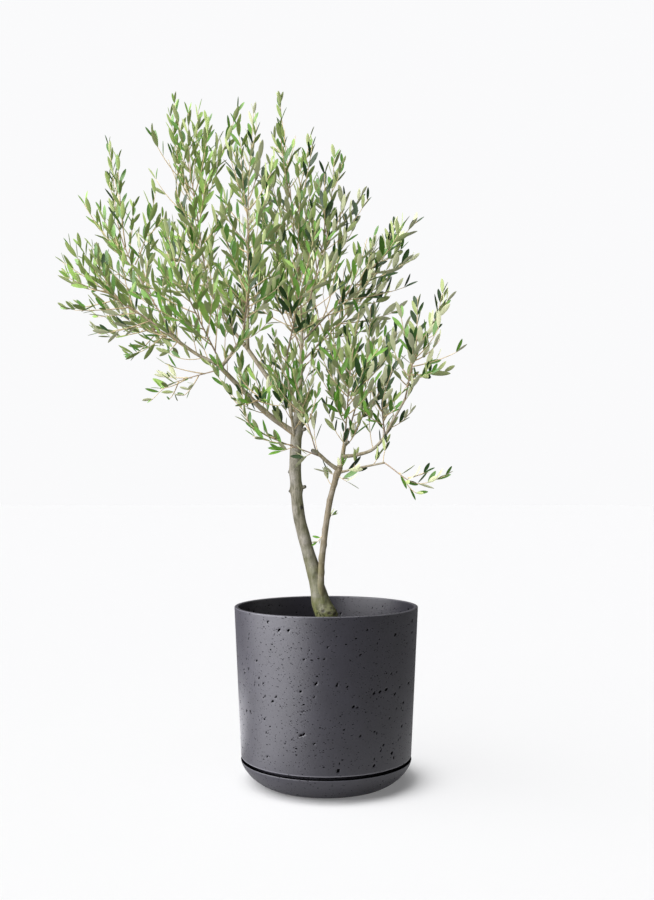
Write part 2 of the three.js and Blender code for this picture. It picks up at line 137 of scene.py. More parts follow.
# name, parent, place along the parent (0 to 1), heading, rise and curl in degrees, length, radii.
# Heading 0 is +X and 90 is +Y. The rise turns by the curl, mostly in the limb's lower half.
BOUGHS = [
    ("left_bough", "trunk", 0.875, 198, 38, 12, 221, 6.2, 4.4),
    ("left_outer_bough", "left_bough", 1, 177, 30, 14, 121, 3.6, 2.7),
    ("left_high_bough", "left_bough", 0.95, 327, 44, 12, 84, 3.6, 2.8),
    ("rear_bough", "trunk", 0.965, 159, 49, 9, 194, 5.6, 4.2),
    ("rear_high_bough", "rear_bough", 1, 169, 56, 12, 160, 3.6, 2.7),
    ("crown_bough", "rear_bough", 0.95, 276, 72, 10, 158, 3.4, 2.6),
    ("front_shoot", "trunk", 0.815, 250, 74, 9, 193, 3, 2.4),
    ("top_bough", "trunk", 1, 88, 66, 8, 205, 5, 3),
    ("left_spur", "second_stem", 0.985, 199, 36, 10, 62, 4.4, 3.4),
    ("centre_spur", "second_stem", 1, 36, 74, 10, 55, 5, 3.8),
    ("right_bough", "centre_spur", 0.45, 353, 34, 54, 188, 3.8, 2.5),
    ("low_twig", "second_stem", 0.96, 337, 12, -4, 104, 2.5, 2),
]

# name, bough, place along it, stem's heading, rise and length, the space's lean (heading, rise),
# its half length along the lean and its half width across it.
MASSES = [
    ("leaves_left_tip", "left_outer_bough", 1, 184, 34, 155, 186, 33, 118, 92),
    ("leaves_left_crest", "left_outer_bough", 0.84, 153, 58, 248, 158, 81, 205, 96),
    ("leaves_left_under", "left_outer_bough", 0.5, 136, 24, 150, 165, -3, 148, 78),
    ("leaves_left_front", "left_bough", 0.88, 234, 52, 198, 232, 66, 145, 96),
    ("leaves_low_left", "left_bough", 0.93, 166, -14, 112, 175, -38, 78, 52),
    ("leaves_top_left", "rear_high_bough", 1, 206, 81, 212, 208, 76, 180, 94),
    ("leaves_rear_left", "rear_high_bough", 0.6, 122, 51, 179, 150, 65, 190, 112),
    ("leaves_top_middle", "crown_bough", 1, 275, 83, 156, 323, 85, 195, 80),
    ("leaves_heart_front", "left_high_bough", 1, 288, 60, 115, 306, 73, 150, 97),
    ("leaves_heart_right", "front_shoot", 1, 293, 56, 135, 316, 70, 150, 90),
    ("leaves_top_right", "top_bough", 1, 211, 84, 277, 213, 82, 210, 90),
    ("leaves_upper_right", "top_bough", 0.87, 7, 77, 252, 33, 83, 165, 90),
    ("leaves_right_crest", "top_bough", 0.76, 349, 45, 238, 347, 44, 135, 92),
    ("leaves_rear_middle", "top_bough", 0.65, 113, 51, 235, 80, 76, 203, 127),
    ("leaves_rear_right", "top_bough", 0.52, 46, 41, 191, 36, 62, 170, 112),
    ("leaves_right_outer", "right_bough", 1, 10, 76, 98, 357, 59, 150, 90),
    ("leaves_right_front", "centre_spur", 1, 278, 62, 159, 298, 73, 138, 91),
    ("leaves_right_inner", "centre_spur", 0.6, 53, 66, 220, 60, 72, 152, 98),
    ("leaves_low_middle", "left_spur", 1, 227, 67, 133, 226, 75, 112, 68),
    ("leaves_low_right", "low_twig", 1, 338, -32, 79, 348, 15, 84, 32),
    ("leaves_low_front", "left_spur", 0.7, 195, 21, 144, 186, 56, 84, 38),
    ("leaves_bough_front", "left_bough", 0.5, 285, 4, 72, 250, 45, 84, 58),
    ("leaves_right_low", "right_bough", 0.55, 262, 40, 88, 300, 62, 96, 60),
]

# Leafy sprigs: short ones on the bare wood round the forks, and long ones from a mass's own stem
# where the crown's edge is drawn out. Limb or mass, place along it, heading, rise, curl, length,
# length of their leaves.
SPRIGS = [
    ("second_stem", 0.86, 150, 50, 30, 34, 26),
    ("second_stem", 0.93, 340, 62, 10, 30, 34),
    ("second_stem", 0.95, 185, 8, 10, 16, 42),
    ("second_stem", 0.95, 318, -30, 10, 30, 46),
    ("low_twig", 0.35, 75, 60, 20, 30, 30),
    ("low_twig", 0.75, 60, 35, 20, 34, 34),
    ("left_spur", 0.9, 120, 70, 20, 70, 36),
    ("centre_spur", 0.95, 160, 60, 20, 90, 38),
    ("centre_spur", 0.8, 20, 55, 25, 80, 38),
    ("right_bough", 0.35, 110, 70, 20, 80, 38),
    ("trunk", 0.955, 215, 55, 25, 80, 42),
    ("trunk", 0.9, 300, 50, 30, 70, 40),
    ("left_bough", 0.3, 260, 25, 20, 60, 44),
    ("leaves_top_left", 0.5, 171, 70, 20, 186, 38),
    ("leaves_top_left", 0.6, 257, 81, 10, 136, 38),
    ("leaves_top_left", 0.5, 33, 78, 8, 164, 38),
    ("leaves_top_left", 0.45, 350, 63, 10, 217, 40),
    ("leaves_top_left", 0.55, 78, 78, 5, 181, 36),
    ("leaves_top_left", 0.45, 187, 54, 30, 114, 36),
    ("leaves_top_left", 0.4, 35, 71, 12, 180, 38),
    ("leaves_top_middle", 0.6, 175, 75, 10, 109, 38),
    ("leaves_upper_right", 0.45, 353, 44, 25, 156, 36),
    ("leaves_left_tip", 0.5, 182, 44, 25, 136, 38),
    ("leaves_left_tip", 0.45, 167, 50, 15, 145, 38),
    ("leaves_right_outer", 0.5, 4, 62, 30, 125, 38),
    ("leaves_low_front", 0.95, 168, 52, 12, 104, 38),
    ("leaves_low_front", 0.8, 148, 75, 12, 100, 38),
    ("leaves_low_front", 0.3, 210, -18, 0, 32, 42),
    ("leaves_low_front", 0.12, 214, -27, 0, 19, 42),
    ("low_twig", 0.97, 60, 70, -20, 45, 34),
    ("second_stem", 0.97, 335, 5, -20, 36, 44),
    ("leaves_left_crest", 0.97, 162, 78, 6, 40, 34),
    ("leaves_top_left", 0.97, 215, 78, 6, 22, 34),
    ("leaves_top_right", 0.97, 230, 80, 6, 14, 34),
    ("second_stem", 0.52, 202, -48, 0, 26, 19),
    ("second_stem", 0.64, 350, 12, 0, 11, 20),
]

# Openings through the crown, as seen from in front, from VIEW_DISTANCE at EYE_LEVEL: place (x, z),
# half width and half height. No leaf grows in them.
VIEW_DISTANCE = 2050
EYE_LEVEL = 600
OPENINGS = [
    (-331, 1250, 19, 52),
    (-62, 1368, 30, 26),
    (84, 1148, 18, 22),
    (257, 925, 20, 55),
    (-2, 985, 20, 22),
    (-88, 958, 20, 16),
    (-296, 852, 22, 18),
    (-345, 780, 20, 16),
    (150, 1010, 14, 16),
    (62, 1245, 16, 16),
]

# Boughs that bear thin twigs of their own: place of the first, spacing and usual length of the twigs.
TWIGGY_BOUGHS = [
    ("left_bough", 0.3, 13, 85),
    ("left_outer_bough", 0.05, 14, 80),
    ("left_high_bough", 0.1, 12, 90),
    ("rear_bough", 0.25, 11, 95),
    ("rear_high_bough", 0.05, 14, 85),
    ("crown_bough", 0.05, 15, 80),
    ("front_shoot", 0.05, 11, 85),
    ("top_bough", 0.15, 16, 90),
    ("right_bough", 0.3, 22, 70),
    ("centre_spur", 0.4, 12, 80),
]

# Pruned stubs: limb, place along it, heading, length from its middle, radius.
STUB_RISE = 20  # degrees above level
STUB_SIDES = 18
STUBS = [
    ("trunk", 0.635, 350, 22, 3.4),
    ("trunk", 0.62, 185, 17, 3.2),
    ("trunk", 0.705, 172, 16, 4),
    ("trunk", 0.55, 302, 14.5, 4.2),
    ("trunk", 0.885, 345, 21, 3.6),
    ("left_spur", 0.95, 196, 13, 3.8),
    ("centre_spur", 0.95, 340, 11, 3.2),
]

# Healed knots on the trunk: height, heading, how far they swell, their spread, how dark they are.
KNOTS = [
    (318, 340, 3.0, 22, 0.0),
    (350, 345, 5.0, 15, 0.0),
    (332, 195, 3.0, 18, 0.0),
    (366, 190, 5.5, 22, 0.0),
    (340, 2, 3.0, 6, 0.0),
    (352, 262, 3.0, 9, 1.0),
    (347, 290, 4.0, 9, 1.0),
    (344, 318, 4.0, 9, 1.0),
    (356, 312, 3.0, 7, 0.8),
    (430, 290, 3.2, 11, 0.5),
    (495, 275, 0.8, 5, 0.3),
    (568, 312, 1.4, 6, 1.0),
    (604, 350, 3.0, 9, 0.1),
    (600, 185, 2.4, 8, 0.1),
    (640, 172, 1.8, 7, 0.3),
    (722, 345, 2.6, 9, 0.2),
    (742, 200, 2.0, 12, 0.0),
]

# Low rings where the second stem's leaves once stood, in the same terms.
NODES = [
    (432, 350, 1.0, 6, 0.0),
    (462, 200, 1.2, 6, 0.1),
    (488, 330, 1.4, 6, 0.2),
    (520, 190, 1.0, 5, 0.1),
    (548, 340, 1.5, 6, 0.2),
    (580, 200, 1.1, 6, 0.1),
    (612, 345, 1.2, 6, 0.0),
    (634, 185, 2.2, 9, 0.1),
    (640, 320, 2.0, 8, 0.0),
]

# ---------- growth of the finer wood and leaves ----------

SHOOTS = 13  # shoots of a mass, its leader among them
SHOOTS_IF_NARROW = 6
SHOOTS_IF_SLIM = 3
FRINGE = 1.14  # how far fine shoots pass the surface of their mass's space
LOOSE_FRINGE = 1.3  # the same for the side twigs of boughs, which belong to no mass
NARROW = 70  # half width of a mass under which it has fewer shoots
SLIM = 45  # half width under which it is a few bare shoots
GOLDEN_TURN = 137.5  # degrees from one shoot to the next, round the mass's lean
GOLDEN_STEP = 0.618
STEM_RADIUS = 2.0
SHOOT_RADIUS = 1.45
SIDE_TWIG_RADIUS = 1.0
TWIG_TIP_RADIUS = 0.6
TWIG_RINGS = 8
TWIG_SIDES = 5
FREE_TIP = 70  # mm at the tip of a shoot that bear leaves only
SIDE_TWIG_EVERY = 34  # mm of a shoot for each side twig
SIDE_TWIG_LENGTH = 74
LEAF_LENGTH = 39
LEAF_WIDTH = 0.245  # of its length
LEAF_THICKNESS = 0.7  # a little more than life, so that its edge shows
LEAF_FOLD = 0.16  # how far the margins stand over the midrib, as a share of the half width
INTERNODE = 23  # mm between pairs of leaves
LEAFY_LENGTH = 170  # mm of a shoot, from its tip, that still bears leaves
LEAFY_TWIG = 80  # the same of a side twig
LEAF_OPENING = 24  # degrees between a spray's first leaves and its line
WIDER_OPENING = 18  # degrees added from the third pair on
OPENING_VARIES = 9  # degrees either way
LEAF_TWIST = 55  # most that a leaf rolls about its midrib, in degrees either way
LEAVES_KEPT = 0.95  # share of the leaves that haven't dropped
SHORTER_REACH = 0.07  # step by which a shoot is shortened until its tip is in its own space
SIDEWAYS = np.array([0.6, -0.74, 0.3]) / math.hypot(0.6, 0.74, 0.3)  # no limb runs along it
UP = np.array([0.0, 0.0, 1.0])

# Share of a leaf's length and of its half width at each ring between its two points.
LEAF_OUTLINE = np.array([(0.07, 0.13), (0.2, 0.6), (0.4, 0.95), (0.62, 1.0), (0.82, 0.74), (0.94, 0.36)])


# ---------- numbers, lines and noise ----------


def draw(seed, n):
    """A repeatable number from 0 to 1 for draw n of a seed: the fraction of a large sine."""
    wave = np.sin(seed * 127.1 + n * 311.7) * 43758.5453
    return wave - np.floor(wave)


def unit(vectors):
    """Vectors divided by their length."""
    return vectors / np.linalg.norm(vectors, axis=-1, keepdims=True)


def side_of(ahead):
    """The one fixed direction that no limb follows, made square to unit vectors ahead."""
    return unit(SIDEWAYS - (ahead @ SIDEWAYS)[..., None] * ahead)


def around(radius, turn, height):
    """Points about the Z axis, at radii, turns in radians and heights."""
    x = radius * np.cos(turn)
    y = radius * np.sin(turn)
    return np.stack(np.broadcast_arrays(x, y, height), axis=-1)


def full_turn(steps):
    """Evenly spaced turns round a circle, from 0, in radians."""
    return np.arange(steps) / steps * 2 * math.pi


def pointing(heading, rise):
    """A unit vector from a compass heading and a rise above level, in degrees."""
    turn, lift = math.radians(heading), math.radians(rise)
    return np.array([math.cos(lift) * math.cos(turn), math.cos(lift) * math.sin(turn), math.sin(lift)])


def smoothstep(value, low, high):
    """The cubic 3t^2 - 2t^3 of a value's place t between low and high."""
    t = np.clip((value - low) / (high - low), 0, 1)
    return t * t * (3 - 2 * t)


def grown(start, heading, rise, curl, length):
    """The line of a limb: equal steps whose rise turns smoothly by the curl."""
    middles = (np.arange(PATH_STEPS) + 0.5) / PATH_STEPS
    rises = rise + curl * (smoothstep(middles, 0.1, 0.6) - 0.5)
    steps = np.array([pointing(heading, r) for r in rises]) * length / PATH_STEPS
    return np.vstack([start, start + np.cumsum(steps, axis=0)])


def along(line, shares):
    """The points at shares of a line's length, each coordinate interpolated by the length so far."""
    spans = np.linalg.norm(np.diff(line, axis=0), axis=1)
    reached = np.concatenate([[0], np.cumsum(spans)]) / spans.sum()
    return np.stack([np.interp(shares, reached, line[:, k]) for k in range(3)], axis=-1)


def smooth_line(stations, steps):
    """A Catmull-Rom curve: on each span a cubic whose slope at a station is half the step between
    its neighbours, where the end stations' missing neighbours are mirrored."""
    stations = np.asarray(stations, float)
    before = 2 * stations[0] - stations[1]
    after = 2 * stations[-1] - stations[-2]
    padded = np.vstack([before, stations, after])
    place = np.linspace(0, len(stations) - 1, steps + 1)
    span = np.minimum(place.astype(int), len(stations) - 2)
    t = (place - span)[:, None]
    p0, p1, p2, p3 = (padded[span + k] for k in range(4))
    cubic = 3 * p1 - 3 * p2 + p3 - p0
    square = 2 * p0 - 5 * p1 + 4 * p2 - p3
    return p1 + 0.5 * t * (p2 - p0 + t * (square + t * cubic))


def noise(points, size, seed):
    """Value noise from -1 to 1: numbers drawn for the corners of a lattice with that cell size,
    blended by smoothsteps along the three axes."""
    scaled = points / size
    cell = np.floor(scaled)
    part = scaled - cell
    blend = part * part * (3 - 2 * part)
    total = 0
    for corner in np.ndindex(2, 2, 2):
        node = cell + corner
        number = draw(seed + node @ np.array([0.731, 1.377, 2.113]), node @ np.array([1.0, 0.57, 0.29]))
        weight = np.prod(np.where(corner, blend, 1 - blend), axis=-1)
        total = total + weight * number
    return 2 * total - 1


# ---------- meshes ----------


def add_piece(name, points, faces, materials, slots=None, *, attributes=None, replaces=()):
    """One smooth mesh object from points in millimetres and a list of face arrays, of three or four
    corners each, with a material for each face and named numbers for each point."""
    mesh = bpy.data.meshes.new(name)
    mesh.vertices.add(len(points))
    mesh.vertices.foreach_set("co", (points * MM).astype(np.float32).ravel())
    sizes = np.concatenate([np.full(len(f), f.shape[1]) for f in faces])
    mesh.loops.add(int(sizes.sum()))
    mesh.loops.foreach_set("vertex_index", np.concatenate([f.ravel() for f in faces]).astype(np.int32))
    mesh.polygons.add(len(sizes))
    mesh.polygons.foreach_set("loop_start", np.concatenate([[0], np.cumsum(sizes)[:-1]]).astype(np.int32))
    for material in materials:
        mesh.materials.append(material)
    if slots is not None:
        mesh.polygons.foreach_set("material_index", np.concatenate(slots).astype(np.int32))
    mesh.update(calc_edges=True)
    mesh.shade_smooth()
    for title, values in (attributes or {}).items():
        layer = mesh.attributes.new(title, "FLOAT", "POINT")
        layer.data.foreach_set("value", values.astype(np.float32).ravel())
    piece = bpy.data.objects.new(name, mesh)
    bpy.context.scene.collection.objects.link(piece)
    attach(piece, "root")
    if replaces:
        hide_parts(*replaces)
    return piece


def ring_faces(rings, sides, closed=False):
    """Quads between neighbouring rings of a grid, all facing out where the rings run along +Z and
    turn towards +Y from +X. A closed grid joins its last ring to its first."""
    ring = np.arange(rings if closed else rings - 1)[:, None]
    side = np.arange(sides)[None, :]
    above = (ring + 1) % rings
    beside = (side + 1) % sides
    quads = [ring * sides + side, ring * sides + beside, above * sides + beside, above * sides + side]
    return np.stack(np.broadcast_arrays(*quads), axis=-1).reshape(-1, 4)


def cap_faces(ring_start, pole, sides, ahead):
    """Triangles from a ring to its pole, facing back along the tube or ahead."""
    side = np.arange(sides)
    beside = (side + 1) % sides
    poles = np.full(sides, pole)
    order = (side, beside, poles) if ahead else (beside, side, poles)
    return np.stack([ring_start + order[0], ring_start + order[1], order[2]], axis=-1)


def tube_template(rings, sides):
    """Faces of one tube whose points are its rings, then its first pole, then its last."""
    count = rings * sides
    first = cap_faces(0, count, sides, False)
    last = cap_faces(count - sides, count + 1, sides, True)
    return ring_faces(rings, sides), np.vstack([first, last])


def repeated(template, copies, stride):
    """A face template moved on by a stride for each copy."""
    offsets = np.arange(copies)[:, None, None] * stride
    return (template[None] + offsets).reshape(-1, template.shape[1])


def tube_points(lines, radii, sides):
    """Points of tubes along lines (n, rings, 3): at each point a circle square to the line, with a
    radius for each ring, or for each ring and side. The two poles follow."""
    ahead = unit(np.gradient(lines, axis=1))
    side = side_of(ahead)
    across = np.cross(ahead, side)
    turn = full_turn(sides)[:, None]
    out = np.cos(turn) * side[..., None, :] + np.sin(turn) * across[..., None, :]
    rings = lines[..., None, :] + out * radii[..., None]
    flat = rings.reshape(len(lines), -1, 3)
    return np.concatenate([flat, lines[:, :1], lines[:, -1:]], axis=1)


# ---------- materials ----------


def linear(colour):
    """A colour written as sRGB hex, as the linear numbers of a shader."""
    values = np.array([int(colour[i : i + 2], 16) for i in (1, 3, 5)]) / 255
    low = values / 12.92
    high = ((values + 0.055) / 1.055) ** 2.4
    return (*np.where(values <= 0.04045, low, high), 1.0)


def connect(tree, node, feeds):
    """Gives each input named in feeds a link from a socket, a colour in sRGB hex or a plain value."""
    for title, source in feeds.items():
        if isinstance(source, bpy.types.NodeSocket):
            tree.links.new(source, node.inputs[title])
        else:
            node.inputs[title].default_value = linear(source) if isinstance(source, str) else source


def add_node(tree, kind, feeds=None, **settings):
    """Adds a shader node with its own settings and what feeds its inputs."""
    node = tree.nodes.new(kind)
    for title, value in settings.items():
        setattr(node, title, value)
    connect(tree, node, feeds or {})
    return node


def new_material(name, colour, **sockets):
    """A material whose shader has a plain colour and values, and its tree and shader node."""
    material = bpy.data.materials.new(name)
    material.use_nodes = True
    material.diffuse_color = linear(colour)
    shader = material.node_tree.nodes["Principled BSDF"]
    values = {title.replace("_", " "): value for title, value in sockets.items()}
    connect(material.node_tree, shader, {"Base Color": colour, **values})
    return material, material.node_tree, shader


def mixed(tree, share, first, second):
    """A colour between two, by a share."""
    feeds = {0: share, 6: first, 7: second}
    return add_node(tree, "ShaderNodeMix", feeds, data_type="RGBA").outputs[2]


def spread(tree, value, low, high, to_low=0.0, to_high=1.0):
    """A value's place between low and high, as a number from to_low to to_high."""
    feeds = {"Value": value, "From Min": low, "From Max": high, "To Min": to_low, "To Max": to_high}
    return add_node(tree, "ShaderNodeMapRange", feeds).outputs[0]


def level_between(tree, height, low, high, to_low=0.0, to_high=1.0):
    """The same for a height between two levels in millimetres."""
    return spread(tree, height, low * MM, high * MM, to_low, to_high)


def calculated(tree, operation, first, second):
    """The product, difference, lesser or greater of two values, kept from 0 to 1."""
    feeds = {0: first, 1: second}
    return add_node(tree, "ShaderNodeMath", feeds, operation=operation, use_clamp=True).outputs[0]


def own_place(tree):
    """The place on the object itself, in metres."""
    return add_node(tree, "ShaderNodeTexCoord").outputs["Object"]


def part_along(tree, vector, axis):
    """A vector's part along X, Y or Z."""
    return add_node(tree, "ShaderNodeSeparateXYZ", {0: vector}).outputs[axis]


def marked(tree, title):
    """The number that a mesh carries for each point under a title."""
    return add_node(tree, "ShaderNodeAttribute", attribute_name=title).outputs["Fac"]


def mottle(tree, coordinates, size, detail=2.0):
    """Soft noise with blotches of a size in millimetres."""
    feeds = {"Vector": coordinates, "Scale": 1 / (size * MM), "Detail": detail}
    return add_node(tree, "ShaderNodeTexNoise", feeds).outputs[0]


def pores(tree, coordinates, spacing, radius, share):
    """Open pores: balls in the cells of a Voronoi pattern with that spacing, in millimetres, where
    the surface cuts them. Only that share of the cells has one, and their radii differ."""
    feeds = {"Vector": coordinates, "Scale": 1 / (spacing * MM)}
    cells = add_node(tree, "ShaderNodeTexVoronoi", feeds)
    lot = add_node(tree, "ShaderNodeSeparateColor", {0: cells.outputs["Color"]}).outputs[0]
    reach = spread(tree, lot, 1 - share, 1, 0, radius / spacing)
    feeds = {0: reach, 1: cells.outputs["Distance"]}
    depth = add_node(tree, "ShaderNodeMath", feeds, operation="SUBTRACT").outputs[0]
    return spread(tree, depth, 0, 0.22 * radius / spacing)


def bumped(tree, relief, strength, depth):
    """The surface's normal, tilted by the slope of a relief of that depth in millimetres."""
    feeds = {"Strength": strength, "Distance": depth * MM, "Height": relief}
    return add_node(tree, "ShaderNodeBump", feeds).outputs[0]


def cast_cement():
    """Fibre cement, cast in a mould and pigmented charcoal. Air bubbles leave open pores, and the
    pores and cast pits are painted black, as painted shade inside them. The skin has a low satin
    sheen with faint clouds of paler cement. The lip and both edges of the recess over the saucer
    are painted pale, as painted highlights, and the recess between them is painted black, as
    painted shade."""
    material, tree, shader = new_material("cast_fibre_cement", "#2d2c33")
    place = own_place(tree)
    # The wet cement was wiped upwards to the right, which drew the bubbles out on that slant.
    turned = {"Vector": place, "Rotation": (0.0, math.radians(38), 0.0), "Scale": (0.75, 1.0, 1.5)}
    slanting = add_node(tree, "ShaderNodeMapping", turned).outputs[0]
    clouds = mottle(tree, place, 45)
    skin = mixed(tree, spread(tree, clouds, 0.3, 0.7), "#27262d", "#2e2d35")
    grain = mottle(tree, place, 2.2, 3.0)
    skin = mixed(tree, spread(tree, grain, 0.3, 0.75, 0, 0.45), skin, "#3b3942")
    height = part_along(tree, place, "Z")
    # Painted highlights: the lip and both edges of the recess over the saucer are painted pale.
    lip = level_between(tree, height, RIM_HEIGHT - 1.8, RIM_HEIGHT - 0.6, 0, 0.85)
    under = level_between(tree, height, BODY_FOOT_HEIGHT + 3, BODY_FOOT_HEIGHT + 1, 0, 0.8)
    over = level_between(tree, height, SAUCER_TOP - 3, BODY_FOOT_HEIGHT)
    edges = calculated(tree, "MAXIMUM", lip, calculated(tree, "MINIMUM", under, over))
    skin = mixed(tree, edges, skin, "#75747b")
    fine = pores(tree, slanting, 4.6, 1.5, 0.95)
    open_pores = pores(tree, slanting, 11, 2.2, 0.75)
    # Painted shade: the pores and the cast pits are painted black all over their bowls, with no sheen.
    small = calculated(tree, "MULTIPLY", fine, 0.7)
    large = calculated(tree, "MAXIMUM", open_pores, spread(tree, marked(tree, "pit"), 0.0, 0.2))
    # Painted shade: the recess over the saucer, between the planter's foot and the saucer's lip, is
    # painted black.
    above = level_between(tree, height, SAUCER_TOP - 0.7, SAUCER_TOP - 0.2)
    below = level_between(tree, height, BODY_FOOT_HEIGHT + 0.4, BODY_FOOT_HEIGHT - 0.6)
    recess = calculated(tree, "MINIMUM", above, below)
    dark = calculated(tree, "MAXIMUM", calculated(tree, "MAXIMUM", small, large), recess)
    relief = calculated(tree, "SUBTRACT", 1.0, calculated(tree, "MAXIMUM", fine, open_pores))
    feeds = {0: grain, 1: 0.3, 2: relief}
    relief = add_node(tree, "ShaderNodeMath", feeds, operation="MULTIPLY_ADD").outputs[0]
    connect(tree, shader, {
        "Base Color": mixed(tree, dark, skin, "#050506"),
        "Roughness": spread(tree, dark, 0, 1, 0.44, 1.0),
        "Specular IOR Level": spread(tree, dark, 0, 1, 0.8, 0.0),
        "Normal": bumped(tree, relief, 0.6, 1.0),
    })
    return material


def potting_soil():
    """Peat and composted bark, loosely firmed: nearly black brown, dull, with paler chips."""
    material, tree, shader = new_material("potting_soil", "#33261c", Roughness=0.95)
    place = own_place(tree)
    lumps = spread(tree, mottle(tree, place, 9, 4.0), 0.35, 0.65)
    colour = mixed(tree, lumps, "#1d150f", "#453427")
    colour = mixed(tree, pores(tree, place, 11, 2.6, 0.25), colour, "#7d6650")
    connect(tree, shader, {"Base Color": colour, "Normal": bumped(tree, lumps, 0.8, 2.0)})
    return material


ALGAE_TOP, ALGAE_FULL = 500, 340  # the green film thickens from the one down to the other
MOSS_TOP, MOSS_FULL = 372, 345


def olive_bark(name, dark, light, blotch, film):
    """The smooth bark of a young olive: grey over tan, streaked along the stem, with small pale
    lenticels and dark healed knots. Algae leave a green film on the wet foot, and moss grows in
    patches at the soil. As strong as the film value, the side that faces +X, away from the key
    light, is painted the same darker green: painted shade."""
    material, tree, shader = new_material(name, light, Roughness=0.58)
    coordinates = add_node(tree, "ShaderNodeTexCoord")
    place = coordinates.outputs["Object"]
    feeds = {0: place, 1: (1.0, 1.0, 0.22)}
    drawn = add_node(tree, "ShaderNodeVectorMath", feeds, operation="MULTIPLY").outputs[0]
    streaks = spread(tree, mottle(tree, drawn, 4, 4.0), 0.35, 0.65)
    colour = mixed(tree, streaks, dark, light)
    blotches = spread(tree, mottle(tree, place, 26), 0.45, 0.65, 0, 0.6)
    colour = mixed(tree, blotches, colour, blotch)
    grain = mottle(tree, place, 2.6, 3.0)
    colour = mixed(tree, spread(tree, grain, 0.5, 0.75, 0, 0.55), colour, dark)
    lenticels = calculated(tree, "MULTIPLY", pores(tree, place, 6.5, 1.5, 0.5), 0.5)
    colour = mixed(tree, lenticels, colour, "#bcb4a4")
    height = part_along(tree, place, "Z")
    # Painted shade: the side that faces +X, away from the key light, is tinted darker green as strong as
    # the film value.
    facing = part_along(tree, coordinates.outputs["Normal"], "X")
    damp_foot = level_between(tree, height, ALGAE_TOP, ALGAE_FULL, 0, 0.9)
    algae_and_side_shade = calculated(tree, "MAXIMUM", damp_foot, spread(tree, facing, -0.2, 0.9, 0, film))
    patchy = spread(tree, mottle(tree, place, 17), 0.3, 0.6, 0.35, 1)
    colour = mixed(tree, calculated(tree, "MULTIPLY", algae_and_side_shade, patchy), colour, "#6a6f3c")
    cushions = spread(tree, mottle(tree, place, 7, 3.0), 0.5, 0.6)
    moss = calculated(tree, "MULTIPLY", level_between(tree, height, MOSS_TOP, MOSS_FULL), cushions)
    colour = mixed(tree, moss, colour, "#2f3319")
    colour = mixed(tree, marked(tree, "knot"), colour, "#231e17")
    connect(tree, shader, {"Base Color": colour, "Normal": bumped(tree, streaks, 0.5, 0.8)})
    return material


def plain_materials(name, colours, **sockets):
    """One plain material for each colour, numbered, for pieces whose colours are dealt out."""
    return [new_material(f"{name}_{i + 1}", colour, **sockets)[0] for i, colour in enumerate(colours)]


cement = cast_cement()
soil_mix = potting_soil()
bark = olive_bark("olive_trunk_bark", "#514f3b", "#8c8677", "#9f9a94", 0.5)
stem_bark = olive_bark("olive_stem_bark", "#685d47", "#8a7d67", "#9f968a", 0.25)
young_bark = olive_bark("olive_bough_bark", "#726850", "#9a8f77", "#aaa294", 0.3)

# Twig bark: grey-brown on old wood, tan on last year's, straw on new growth, all dull.
twig_barks = plain_materials("twig_bark", ["#a08d78", "#cfb992", "#dfcba0"], Roughness=0.75)
# Upper side of an olive leaf: leathery, with a thin wax that gives a soft gloss.
LEAF_GREENS = ["#203f0f", "#49751f", "#699639", "#8caf54"]
leaf_tops = plain_materials("leaf_upper_side", LEAF_GREENS, Roughness=0.42, Specular_IOR_Level=0.5)
# Underside: dense silver scales, matt and pale.
leaf_undersides = plain_materials("leaf_underside", ["#93a85f", "#abb87c", "#ced2aa"], Roughness=0.7)


# ---------- planter, saucer and soil ----------


def arc(x, z, radius, first, last, steps):
    """Points of a round about (x, z), from one turn to another. Turn 0 is outwards, 90 is up."""
    turn = np.radians(np.linspace(first, last, steps + 1))
    return np.stack([x + radius * np.cos(turn), z + radius * np.sin(turn)], axis=-1)


def straight(first, last, steps):
    """Evenly spaced points from one to another, without the last."""
    return np.linspace(first, last, steps, endpoint=False)


def pit_field(turn, height, pits, radius):
    """Pits in a wall: the grid is drawn in round each, so that it is finely meshed there, and each
    is a bowl of depth (1 - d^2)^0.7, where d is 1 on the pit's slanting oval edge."""
    depth = np.zeros_like(turn)
    for centre, level, long, short, tilt in pits:
        slant = math.radians(tilt)
        for settled in (False, True):
            sideways = ((turn - centre + math.pi) % (2 * math.pi) - math.pi) * radius
            up = height - level
            p = sideways * math.cos(slant) + up * math.sin(slant)
            q = up * math.cos(slant) - sideways * math.sin(slant)
            reach = (p / long) ** 2 + (q / short) ** 2
            if not settled:
                pull = 0.6 * np.exp(-reach / 8)
                turn = turn - pull * sideways / radius
                height = height - pull * up
        depth = np.maximum(depth, np.clip(1 - reach, 0, 1) ** 0.7 * min(1, short / 2))
    return turn, height, depth


def drawn_pits(count, seed, low, high):
    """Pits dealt out over a wall between two heights: turn, height, half length, half width, tilt."""
    n = np.arange(count)
    turn = 2 * math.pi * ((n * GOLDEN_STEP + 0.3 * draw(seed, n)) % 1)
    level = low + (high - low) * draw(seed + 1, n)
    long = 1.3 + 2.0 * draw(seed + 2, n) ** 3
    short = long * (0.5 + 0.35 * draw(seed + 3, n))
    tilt = 10 + 50 * draw(seed + 4, n)
    return zip(turn, level, long, short, tilt)


